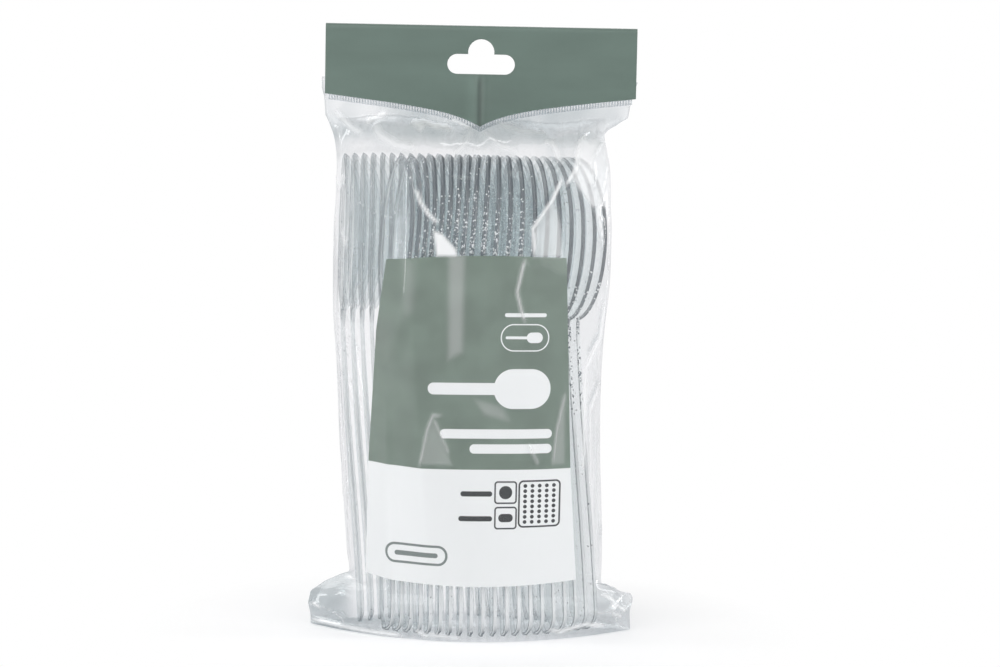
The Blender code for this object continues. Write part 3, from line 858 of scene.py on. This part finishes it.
def spoon_material():
    """Moulded clear polystyrene filled with silver glitter: bright gloss, a silvery haze and flecks.

    Its edges are painted with the shade and light that turn inside the wall: painted shade in the bowls,
    and a paler shade with a painted white highlight down the handles, on the pack's left and on the inner
    side. Real flecks are about 0.2 mm across, which is too fine to show, so they are drawn coarser, the
    bright ones as painted glints and the dark ones as painted shade.
    """
    settings = bpy.context.scene.spoon_settings
    material, tree = new_material("clear_polystyrene_moulded_glitter")
    edge, along, outer = (
        add(tree, "Attribute", out="Fac", attribute_name=name) for name in ("from_edge", "along", "outer")
    )
    place = add(tree, "NewGeometry", out="Position")
    across = add(tree, "SeparateXYZ", (place,))
    rim = add(tree, "MapRange", (edge, *RIM_REACH, 1.0, 0.0))
    core = add(tree, "MapRange", (edge, *CORE_REACH, 1.0, 0.0))
    # The painted edge shade stays dark lower down on the right, and turns pale with painted highlights on
    # the pack's left.
    right = add(tree, "MapRange", (across, *(x * MM for x in RIGHT_BUNCH), 0.0, RIGHT_DROP))
    left = add(tree, "MapRange", (across, *(x * MM for x in LEFT_BUNCH), 0.0, 1.0))
    level = add(tree, "Math", (along, right), operation="ADD")
    low = add(tree, "MapRange", (level, *EDGES_TURN_PALE, 0.0, 1.0))
    bare = add(tree, "MapRange", (level, *GLITTER_ENDS, 0.0, 1.0))
    calm = add(tree, "Math", (left, bare), operation="MAXIMUM")
    # Flecks sit mostly on the rims, from where the edges turn pale down towards the handles' ends, but not
    # on the pack's left.
    glitter_glint_zone = add(tree, "Math", (low, calm), operation="SUBTRACT", use_clamp=True)
    glitter_glint_rim = add(tree, "Math", (glitter_glint_zone, rim), operation="MULTIPLY")
    odds = add(tree, "MapRange", (glitter_glint_rim, 0.0, 1.0, *FLECK_ODDS))
    cells = add(tree, "TexVoronoi", {"Vector": place, "Scale": 1.0 / settings.fleck}, "Color")
    lots = add(tree, "SeparateColor", (cells,)).node.outputs
    bright = add(tree, "Math", (lots[0], odds), operation="GREATER_THAN")
    dark = add(tree, "Math", (lots[1], odds), operation="GREATER_THAN")
    away = add(tree, "LayerWeight", {"Blend": 0.25}, "Facing")
    bent = add(tree, "Math", (away, 3.0), operation="POWER")
    tint = add(tree, "Mix", {0: bent, 6: settings.plastic, 7: settings.bent}, 2, data_type="RGBA")
    inner = add(tree, "Math", (1.0, outer), operation="SUBTRACT")
    # The edge colour: painted shade, or paler with a painted white highlight in its core where it turns
    # pale.
    side = add(tree, "Math", (low, left), operation="MAXIMUM")
    pale = add(tree, "Math", (side, inner), operation="MAXIMUM")
    sides = add(tree, "Mix", {0: pale, 6: settings.rim, 7: settings.low_rim}, 2, data_type="RGBA")
    middle = add(tree, "Mix", {0: pale, 6: settings.core, 7: settings.low_core}, 2, data_type="RGBA")
    shade = add(tree, "Mix", {0: core, 6: sides, 7: middle}, 2, data_type="RGBA")
    layers = ((rim, shade), (dark, settings.dark_fleck), (bright, settings.bright_fleck))
    paint_colour = settings.haze
    for cover, top in layers:
        paint_colour = add(tree, "Mix", {0: cover, 6: paint_colour, 7: top}, 2, data_type="RGBA")
    sheer = add(tree, "Math", (left, LEFT_EDGES), operation="MULTIPLY")
    shown = add(tree, "Math", (outer, sheer), operation="MAXIMUM")
    hides = add(tree, "MapRange", (shown, 0.0, 1.0, settings.inner_cover, settings.rim_cover))
    rim_cover = add(tree, "Math", (rim, hides), operation="MULTIPLY")
    fleck = add(tree, "Math", (bright, dark), operation="MAXIMUM")
    fleck_cover = add(tree, "Math", (fleck, settings.fleck_cover), operation="MULTIPLY")
    cover = add(tree, "Math", (rim_cover, fleck_cover), operation="MAXIMUM")
    whole = add(tree, "Math", (cover, settings.haze_cover), operation="MAXIMUM")
    clear = add(tree, "BsdfTransparent", (tint,))
    solid = add(tree, "BsdfDiffuse", (paint_colour,))
    body = add(tree, "MixShader", (whole, clear, solid))
    gloss = add(tree, "BsdfGlossy", {"Roughness": SPOON_ROUGHNESS})
    bounce = add(tree, "Fresnel", {"IOR": SPOON_IOR})
    sheen = add(tree, "Math", (bounce, SPOON_GLOSS), operation="MINIMUM")
    finish_material(tree, add(tree, "MixShader", (sheen, body, gloss)))
    return material


def box_distance(tree, place, middle, half, radius):
    """Distance outside a rounded box of the print, below 0 inside its core, in millimetres."""
    core = (half[0] - radius, half[1] - radius, 0.0)
    moved = add(tree, "VectorMath", (place, (*middle, 0.0)), operation="SUBTRACT")
    folded = add(tree, "VectorMath", (moved,), operation="ABSOLUTE")
    past = add(tree, "VectorMath", (folded, core), operation="SUBTRACT")
    outside = add(tree, "VectorMath", (past, (0.0, 0.0, 0.0)), operation="MAXIMUM")
    reach = add(tree, "VectorMath", (outside,), "Value", operation="LENGTH")
    return add(tree, "Math", (reach, radius), operation="SUBTRACT")


def filled_shape(tree, distance):
    """Cover of ink inside a shape, with an edge as sharp as print."""
    return add(tree, "MapRange", (distance, INK_EDGE, -INK_EDGE, 0.0, 1.0))


def outlined_shape(tree, distance, line):
    """Cover of ink along the outline of a shape."""
    inner = add(tree, "Math", (distance, line / 2), operation="ADD")
    off = add(tree, "Math", (inner,), operation="ABSOLUTE")
    return filled_shape(tree, add(tree, "Math", (off, line / 2), operation="SUBTRACT"))


def united(tree, place, filled, outlined=()):
    """Cover of ink over filled shapes, and over the outlines of others with their lines' widths."""
    covers = [filled_shape(tree, box_distance(tree, place, *shape)) for shape in filled]
    covers += [outlined_shape(tree, box_distance(tree, place, *shape), line) for shape, line in outlined]
    whole = covers[0]
    for cover in covers[1:]:
        whole = add(tree, "Math", (whole, cover), operation="MAXIMUM")
    return whole


# Printed shapes on the panel: middle (x, z), half sizes and corner radius. COUNT_PITCH's third value only
# keeps the flat print's depth in one cell, and the lines are the widths of the outlines.
WHITE_ON_GREEN = (
    ((14.5, 96.8), (6.0, 0.55), 0.5),
    ((13.9, 75.8), (8.2, 5.7), 5.6),
    ((-2.2, 75.8), (11.1, 1.7), 1.65),
    ((6.6, 62.9), (16.2, 1.35), 1.3),
    ((10.9, 58.6), (11.9, 1.35), 1.3),
)
SPOON_BADGE = ((14.4, 90.4), (7.0, 3.9), 3.8)
BADGE_SPOON = (((17.2, 90.4), (2.3, 1.5), 1.45), ((12.4, 90.4), (3.6, 0.4), 0.38))
BIG_BOX = ((19.6, 42.6), (6.2, 6.9), 1.5)
SMALL_BOXES = (((9.7, 46.0), (3.3, 3.3), 1.0), ((9.8, 38.6), (3.3, 3.3), 1.0))
SMALL_MARKS = (((9.7, 46.0), (1.9, 1.9), 1.85), ((9.8, 38.6), (2.1, 1.2), 1.15))
DARK_BARS = (((1.2, 45.6), (4.6, 0.75), 0.7), ((1.0, 38.4), (4.9, 0.75), 0.7))
GREY_PILL = ((-16.2, 27.2), (9.3, 3.0), 2.9)
GREY_BAR = ((-16.2, 27.2), (6.4, 0.7), 0.65)
COUNT_DOT = 0.55
COUNT_PITCH = (2.1, 1.5, 1.0)
COUNT_FIELD = ((19.6, 42.6), (5.2, 5.95), 0.1)
BADGE_LINE = 0.35
PILL_LINE = 0.7
BIG_BOX_LINE = 0.5
SMALL_BOX_LINE = 0.45


def count_dots(tree, place):
    """Cover of the dots in the big box, one for each spoon of the pack: five across and eight up."""
    middle, half, radius = COUNT_FIELD
    start = (middle[0], middle[1] + COUNT_PITCH[1] / 2, 0.0)
    moved = add(tree, "VectorMath", (place, start), operation="SUBTRACT")
    low = tuple(-size / 2 for size in COUNT_PITCH)
    high = tuple(size / 2 for size in COUNT_PITCH)
    cell = add(tree, "VectorMath", (moved, high, low), operation="WRAP")
    reach = add(tree, "VectorMath", (cell,), "Value", operation="LENGTH")
    dots = filled_shape(tree, add(tree, "Math", (reach, COUNT_DOT), operation="SUBTRACT"))
    field = filled_shape(tree, box_distance(tree, place, middle, half, radius))
    return add(tree, "Math", (dots, field), operation="MULTIPLY")


def print_material():
    """Gravure ink behind polypropylene film: a green field over a white one, with plain shapes.

    It gives an even satin colour, a little cloudy, and the film in front of it gives the gloss.
    """
    inks = bpy.context.scene.print_settings
    material, tree = new_material("gravure_ink_on_film")
    place = add(tree, "UVMap", uv_map="millimetres")
    height = add(tree, "SeparateXYZ", (place,), "Y")
    upper_field = add(tree, "MapRange", (height, PRINT_SPLIT - INK_EDGE, PRINT_SPLIT + INK_EDGE, 0.0, 1.0))
    cloud = add(tree, "TexNoise", {"Vector": place, "Scale": 1.0 / INK_CLOUD, "Detail": 2.0}, "Fac")
    shade = add(tree, "MapRange", (cloud, *INK_CLOUD_SHADES))
    green = add(tree, "VectorMath", {0: inks.green[:3], "Scale": shade}, operation="SCALE")
    knocked = united(tree, place, WHITE_ON_GREEN + BADGE_SPOON, ((SPOON_BADGE, BADGE_LINE),))
    upper = add(tree, "Mix", {0: knocked, 6: green, 7: inks.white}, 2, data_type="RGBA")
    marked = united(tree, place, (GREY_BAR,), ((GREY_PILL, PILL_LINE),))
    paper = add(tree, "Mix", {0: marked, 6: inks.white, 7: inks.grey}, 2, data_type="RGBA")
    boxes = ((BIG_BOX, BIG_BOX_LINE), *((box, SMALL_BOX_LINE) for box in SMALL_BOXES))
    shapes = united(tree, place, SMALL_MARKS + DARK_BARS, boxes)
    inked = add(tree, "Math", (shapes, count_dots(tree, place)), operation="MAXIMUM")
    lower = add(tree, "Mix", {0: inked, 6: paper, 7: inks.dark}, 2, data_type="RGBA")
    whole = add(tree, "Mix", {0: upper_field, 6: lower, 7: upper}, 2, data_type="RGBA")
    finish_material(tree, add(tree, "BsdfPrincipled", {"Base Color": whole, "Roughness": INK_ROUGHNESS}))
    return material


def header_material():
    """Green printed polypropylene, welded over the mouth: satin, a little cloudy where the ink thins."""
    inks = bpy.context.scene.print_settings
    material, tree = new_material("green_polypropylene_film_printed")
    place = add(tree, "TexCoord", out="Object")
    streaks = add(tree, "Mapping", {"Vector": place, "Scale": [1.0 / (size * MM) for size in HEADER_CLOUD]})
    cloud = add(tree, "TexNoise", {"Vector": streaks, "Scale": 1.0, "Detail": 3.0}, "Fac")
    shade = add(tree, "MapRange", (cloud, *HEADER_CLOUD_SHADES))
    # The crease attribute holds painted shade along the crease and a painted highlight beside it.
    crease = add(tree, "Attribute", out="Fac", attribute_name="crease")
    painted_crease_tone = add(tree, "MapRange", (crease, -1.0, 1.0, *CREASE_SHADES))
    both = add(tree, "Math", (shade, painted_crease_tone), operation="MULTIPLY")
    green = add(tree, "VectorMath", {0: inks.header[:3], "Scale": both}, operation="SCALE")
    satin = {"Base Color": green, "Roughness": HEADER_ROUGHNESS, "IOR": FILM_IOR}
    finish_material(tree, add(tree, "BsdfPrincipled", satin))
    return material


def make_pouch_mesh(points):
    """The folded film as a mesh with its floor, kept inside the depth of the pack."""
    settings = bpy.context.scene.film_settings
    grid, density_and_shade, white = fold_film(film_grid(points, settings.slack / MM), settings)
    grid[:, :, 2] = np.maximum(grid[:, :, 2], LOWEST_FOLD)
    low, high = CAD_BOX
    limit = min(high.y, -low.y) / MM
    grid[:, :, 1] = np.clip(grid[:, :, 1], -limit, limit)
    mesh = grid_mesh("film_pouch_shell", grid, closed=True)
    # The film's density with its painted shade, and its painted highlights, for its material.
    paint(mesh, "density_and_shade", density_and_shade)
    paint(mesh, "white", white)
    builder = bmesh.new()
    builder.from_mesh(mesh)
    builder.verts.ensure_lookup_table()
    builder.faces.new([builder.verts[place] for place in reversed(range(COLUMNS))])
    builder.to_mesh(mesh)
    builder.free()
    mesh.shade_smooth()
    return mesh


def header_edge(x):
    """Height of the header's lower edge: a shallow V with a peak in its middle."""
    slope = HEADER_SLOPE_DROP * (1.0 - np.abs(x) / (HEADER_WIDTH / 2))
    peak = HEADER_PEAK_DROP * np.exp(-np.abs(x) / HEADER_PEAK_SPREAD)
    return HEADER_SIDE_EDGE - slope - peak


def arc(x, z, radius, start, end):
    """Points along an arc round a middle, from one angle to another."""
    angles = np.linspace(start, end, ARC_STEPS + 1)
    return [(x + radius * math.cos(angle), z + radius * math.sin(angle)) for angle in angles]


def hang_hole_outline():
    """Points round the hang hole, seen from the front, about the middle of its slot."""
    radius = SLOT_HEIGHT / 2
    shift = SLOT_LENGTH / 2 - radius
    quarter = math.pi / 2
    meet = math.asin((radius - LOBE_RISE) / LOBE_RADIUS)
    right = arc(shift, 0.0, radius, -quarter, quarter)
    lobe = arc(0.0, LOBE_RISE, LOBE_RADIUS, meet, math.pi - meet)
    left = arc(-shift, 0.0, radius, quarter, 3 * quarter)
    return right + lobe + left


def hang_hole_cutter():
    """A prism of the hang hole's outline that runs right through the header."""
    builder = bmesh.new()
    depth = 4 * HEADER_OUTER
    outline = hang_hole_outline()
    corners = [builder.verts.new(Vector((x, -depth, SLOT_MIDDLE + z)) * MM) for x, z in outline]
    grown = bmesh.ops.extrude_face_region(builder, geom=[builder.faces.new(corners)])
    moved = [item for item in grown["geom"] if isinstance(item, bmesh.types.BMVert)]
    bmesh.ops.translate(builder, verts=moved, vec=(0.0, 2 * depth * MM, 0.0))
    bmesh.ops.recalc_face_normals(builder, faces=builder.faces)
    mesh = bpy.data.meshes.new("hang_hole_cutter")
    builder.to_mesh(mesh)
    builder.free()
    return new_object("hang_hole_cutter", mesh)


def header_grid():
    """Grid of points on the header's outer face, from its front edge over the fold to its back edge."""
    across = np.linspace(-HEADER_WIDTH / 2, HEADER_WIDTH / 2, HEADER_ACROSS + 1)
    shares = np.linspace(0.0, 1.0, HEADER_ALONG + 1)
    fold = np.linspace(0.0, math.pi, 9)[1:-1]
    top = PACK_HEIGHT - HEADER_OUTER
    rows = []
    for x in across:
        edge = float(header_edge(x))
        side = edge + (top - edge) * shares
        front = [(x, -HEADER_OUTER, z) for z in side]
        round_over = [(x, -HEADER_OUTER * math.cos(a), top + HEADER_OUTER * math.sin(a)) for a in fold]
        back = [(x, HEADER_OUTER, z) for z in side[::-1]]
        rows.append(front + round_over + back)
    return np.array(rows).transpose(1, 0, 2)


def wave_header(grid):
    """The header with its slight waves and the crease below its hole, and the painted shade and highlight
    along the crease.
    """
    x, y, z = np.moveaxis(grid, 2, 0)
    side = np.sign(y)
    below = smooth((SLOT_MIDDLE - SLOT_HEIGHT / 2 + 1.0 - z) / 4.0)
    waves = 0.22 * noise_field(grid, *HEADER_WAVES)
    waves += 0.16 * noise_field(grid, *HEADER_SMALL_WAVES) * ramp(x, 5.0, 25.0)
    # The crease runs down the middle from the hole: a sharp ridge with a softer groove to its right.
    fold = np.exp(-np.abs(x + 0.4) / 0.9) - 0.6 * np.exp(-((x - 1.6) / 1.1) ** 2)
    lift = waves + 0.55 * fold * below
    moved = grid.copy()
    moved[:, :, 1] += side * np.maximum(lift, -0.25)
    # Painted shade along the crease line, and a weaker painted highlight to its left.
    tone = -1.0 * np.exp(-((x + 0.2) / 0.75) ** 2) + 0.35 * np.exp(-((x + 2.6) / 1.6) ** 2)
    return moved, np.where(y < 0, tone * below, 0.0)


def surface_tree(mesh):
    """A search tree of a mesh, in metres."""
    points = [vertex.co for vertex in mesh.vertices]
    return BVHTree.FromPolygons(points, [tuple(face.vertices) for face in mesh.polygons])


def panel_mesh(tree):
    """The printed panel behind the front film, with its flat place as UV in millimetres."""
    rows = []
    places = []
    for up in np.linspace(0.0, 1.0, PANEL_ALONG + 1):
        height = PANEL_BOTTOM + (PANEL_TOP - PANEL_BOTTOM) * up
        left = np.interp(height, *PANEL_LEFT)
        right = np.interp(height, *PANEL_RIGHT)
        for across in np.linspace(0.0, 1.0, PANEL_ACROSS + 1):
            x = left + (right - left) * across
            bow = 1.0 - (2.0 * across - 1.0) ** 2
            z = height - PANEL_BOTTOM_BOW * bow * (1.0 - up) + PANEL_TOP_BOW * bow * up
            z -= PANEL_DROOP * up * (1.0 - across) ** 4
            start = Vector((x, -60.0, z)) * MM
            hit, normal, _, _ = tree.ray_cast(start, Vector((0.0, 1.0, 0.0)))
            if normal.y > 0:
                normal = -normal
            rows.append(np.array(hit - normal * PRINT_BELOW_FILM * MM) / MM)
            places.append((x, z + PRINT_SETTLES * max(SETTLE_TOP - z, 0.0) / (SETTLE_TOP - PRINT_SPLIT)))
    grid = np.array(rows).reshape(PANEL_ALONG + 1, PANEL_ACROSS + 1, 3)
    mesh = grid_mesh("front_print", grid)
    layer = mesh.uv_layers.new(name="millimetres")
    for loop in mesh.loops:
        layer.data[loop.index].uv = places[loop.vertex_index]
    return mesh


def rib_mesh(side):
    """The ribbed weld along the header's lower edge, on the front (side -1) or the back (side 1)."""
    across = np.arange(-HEADER_WIDTH / 2 + 1.0, HEADER_WIDTH / 2 - 1.0, RIB_PITCH / RIB_STEPS)
    rows = []
    for share in np.linspace(0.0, 1.0, RIB_STEPS):
        drop = RIB_HEIGHT * share - RIB_OVERLAP
        wave = 0.5 + 0.5 * np.cos(2 * math.pi * across / RIB_PITCH)
        y = side * (LEAF_HALF_THICKNESS + RIB_STANDS + RIB_RELIEF * wave * math.sin(math.pi * share))
        rows.append(np.stack((across, y, header_edge(across) - drop), axis=1))
    grid = np.array(rows)[:, :: -side]
    mesh = grid_mesh("weld_ribs", grid)
    x = grid[:, :, 0]
    # Painted highlights in white on the ribs' crests, stronger and weaker at random, and painted shade in
    # the grooves between them.
    crest = (0.5 + 0.5 * np.cos(2 * math.pi * x / RIB_PITCH)) ** 2
    glint_noise = noise_field(grid * (1, 0, 0), *RIB_GLINT_NOISE)
    glint_strength = 0.3 + 0.7 * smooth(glint_noise + 0.6)
    fade = np.sin(np.linspace(0.05, 0.95, RIB_STEPS) * math.pi)[:, None]
    paint(mesh, "density_and_shade", 0.8 * (1.0 - crest))
    paint(mesh, "white", crest * glint_strength * fade)
    return mesh


class PACK_OT_spoons(Operator):
    """Put a moulded spoon in the place of each plain one"""

    bl_idname = "pack.spoons"
    bl_label = "Spoons"

    def execute(self, context):
        settings = context.scene.spoon_settings
        plastic = spoon_material()
        sides = (("front", -1), ("back", 1))
        meshes = {row: moulded_spoon(settings, plastic, side) for row, side in sides}
        for node, matrix in spoon_places():
            mesh = meshes[node.split("_")[1]].copy()
            mesh.transform(matrix)
            piece = place_piece("moulded_" + node, mesh, [node])
            piece.visible_shadow = False
        return {"FINISHED"}


class PACK_OT_film(Operator):
    """Make the folded film pouch"""

    bl_idname = "pack.film"
    bl_label = "Film pouch"

    def execute(self, context):
        mesh = make_pouch_mesh(spoon_points())
        mesh.materials.append(film_material())
        place_piece("pouch_film", mesh, ["film_pouch"])
        return {"FINISHED"}


class PACK_OT_print(Operator):
    """Lay the printed panel behind the pouch's front film"""

    bl_idname = "pack.print"
    bl_label = "Print"

    def execute(self, context):
        mesh = panel_mesh(surface_tree(bpy.data.objects["pouch_film"].data))
        mesh.materials.append(print_material())
        place_piece("front_print", mesh)
        return {"FINISHED"}


class PACK_OT_weld(Operator):
    """Press the ribs of the weld below the header, front and back"""

    bl_idname = "pack.weld"
    bl_label = "Weld ribs"

    def execute(self, context):
        film = bpy.data.objects["pouch_film"].data.materials[0]
        for side, name in ((-1, "weld_ribs_front"), (1, "weld_ribs_back")):
            mesh = rib_mesh(side)
            mesh.materials.append(film)
            place_piece(name, mesh)
        return {"FINISHED"}


class PACK_OT_header(Operator):
    """Make the folded header band with its hang hole"""

    bl_idname = "pack.header"
    bl_label = "Header"

    def execute(self, context):
        grid, tone = wave_header(header_grid())
        mesh = grid_mesh("header_sheet", grid)
        paint(mesh, "crease", tone)
        mesh.materials.append(header_material())
        blank = new_object("header_blank", mesh)
        cutter = hang_hole_cutter()
        modify(blank, "SOLIDIFY", thickness=HEADER_SHEET * MM, offset=-1.0)
        modify(blank, "BOOLEAN", object=cutter)
        made = applied(blank, cutter)
        made.set_sharp_from_angle(angle=math.radians(SHARP_ANGLE))
        place_piece("printed_header", made, ["header_band"])
        return {"FINISHED"}


class PACK_OT_stage(Operator):
    """Set up the floor, the studio light and the camera"""

    bl_idname = "pack.stage"
    bl_label = "Stage"

    def execute(self, context):
        settings = context.scene.stage_settings
        make_floor(settings)
        make_world(settings)
        make_lamps()
        make_camera(settings)
        context.scene.view_settings.view_transform = "Standard"
        context.scene.cycles.transparent_max_bounces = 64
        return {"FINISHED"}


def make_floor(settings):
    """A plain white floor that keeps the pack's shadow and turns into plain white farther out."""
    material, tree = new_material("white_paper_floor")
    paper = add(tree, "BsdfDiffuse", {"Color": settings.paper})
    glow = add(tree, "Emission", {"Strength": FLOOR_GLOW})
    lit = add(tree, "AddShader", (paper, glow))
    place = add(tree, "TexCoord", out="Object")
    away = add(tree, "VectorMath", (place,), "Value", operation="LENGTH")
    outer = add(tree, "MapRange", (away, FLOOR_NEAR * MM, FLOOR_FAR * MM, 0.0, 1.0))
    plain = add(tree, "Emission", {"Strength": 1.0})
    faded = add(tree, "MixShader", (outer, lit, plain))
    camera = add(tree, "LightPath", out="Is Camera Ray")
    finish_material(tree, add(tree, "MixShader", (camera, paper, faded)))
    mesh = bpy.data.meshes.new("studio_floor")
    far = FLOOR_HALF * MM
    mesh.from_pydata([(-far, -far, 0), (far, -far, 0), (far, far, 0), (-far, far, 0)], [], [(0, 1, 2, 3)])
    mesh.materials.append(material)
    new_object("studio_floor", mesh)


def make_world(settings):
    """White to the camera, to gloss and through clear pieces, and a softer light on everything else."""
    world = bpy.data.worlds.new("studio")
    world.use_nodes = True
    tree = world.node_tree
    tree.nodes.clear()
    path = add(tree, "LightPath").node.outputs
    seen = add(tree, "Math", (path["Is Camera Ray"], path["Is Glossy Ray"]), operation="MAXIMUM")
    through = add(tree, "Math", (seen, path["Is Transmission Ray"]), operation="MAXIMUM")
    strength = add(tree, "MapRange", (through, 0.0, 1.0, settings.daylight, 1.0))
    light = add(tree, "Background", {"Color": (1.0, 1.0, 1.0, 1.0), "Strength": strength})
    add(tree, "OutputWorld", (light,))
    bpy.context.scene.world = world


# Softboxes: name, place and aim in millimetres, width, height, watts.
LAMPS = (
    ("key_softbox", (-700, -1000, 900), (0, 0, 90), 1300, 1300, 10.0),
    ("fill_softbox", (900, -900, 500), (0, 0, 90), 1100, 1100, 5.3),
    ("back_softbox", (-200, 1100, 700), (0, 0, 90), 1100, 1100, 5.0),
    ("left_strip", (-700, -60, 200), (0, 0, 100), 90, 700, 1.4),
    ("right_strip", (700, -60, 200), (0, 0, 100), 90, 700, 1.4),
)


def make_lamps():
    """Soft rectangular lamps round the pack."""
    for name, place, aim, width, height, watts in LAMPS:
        lamp = bpy.data.lights.new(name, "AREA")
        lamp.shape = "RECTANGLE"
        lamp.size = width * MM
        lamp.size_y = height * MM
        lamp.energy = watts
        holder = new_object(name, lamp)
        holder.location = Vector(place) * MM
        heading = Vector(aim) * MM - holder.location
        holder.rotation_euler = heading.to_track_quat("-Z", "Y").to_euler()


def make_camera(settings):
    """The camera, level with the header, that looks a little down on the front."""
    pitch, roll = settings.pitch, settings.roll
    ahead = Vector((0.0, math.cos(pitch), -math.sin(pitch)))
    level_up = Vector((0.0, math.sin(pitch), math.cos(pitch)))
    level_right = Vector((1.0, 0.0, 0.0))
    right = level_right * math.cos(roll) + level_up * math.sin(roll)
    up = level_up * math.cos(roll) - level_right * math.sin(roll)
    lens = bpy.data.cameras.new("camera")
    lens.sensor_width = 36.0
    lens.lens = settings.lens
    camera = new_object("camera", lens)
    camera.matrix_world = Matrix((right, up, -ahead)).transposed().to_4x4()
    camera.location = (settings.side, -settings.distance, settings.height)
    bpy.context.scene.camera = camera


OPERATORS = (
    PACK_OT_spoons, PACK_OT_film, PACK_OT_print, PACK_OT_weld, PACK_OT_header, PACK_OT_stage
)
SETTINGS = (
    ("spoon_settings", SpoonSettings),
    ("film_settings", FilmSettings),
    ("print_settings", PrintSettings),
    ("stage_settings", StageSettings),
)


class PACK_PT_panel(Panel):
    """Lists the steps that dress the pack"""

    bl_label = "Teaspoon Pack"
    bl_space_type = "VIEW_3D"
    bl_region_type = "UI"
    bl_category = "Teaspoon Pack"

    def draw(self, context):
        for operator in OPERATORS:
            self.layout.operator(operator.bl_idname)


def register():
    """Adds the classes and their settings to Blender."""
    for name, group in SETTINGS:
        bpy.utils.register_class(group)
        setattr(bpy.types.Scene, name, PointerProperty(type=group))
    for kind in (*OPERATORS, PACK_PT_panel):
        bpy.utils.register_class(kind)


def unregister():
    """Takes the classes and their settings out again."""
    for kind in (PACK_PT_panel, *reversed(OPERATORS)):
        bpy.utils.unregister_class(kind)
    for name, group in reversed(SETTINGS):
        delattr(bpy.types.Scene, name)
        bpy.utils.unregister_class(group)


def main():
    """Dresses the pack."""
    register()
    bpy.ops.pack.spoons()
    bpy.ops.pack.film()
    bpy.ops.pack.print()
    bpy.ops.pack.weld()
    bpy.ops.pack.header()
    bpy.ops.pack.stage()


if __name__ == "__main__":
    main()
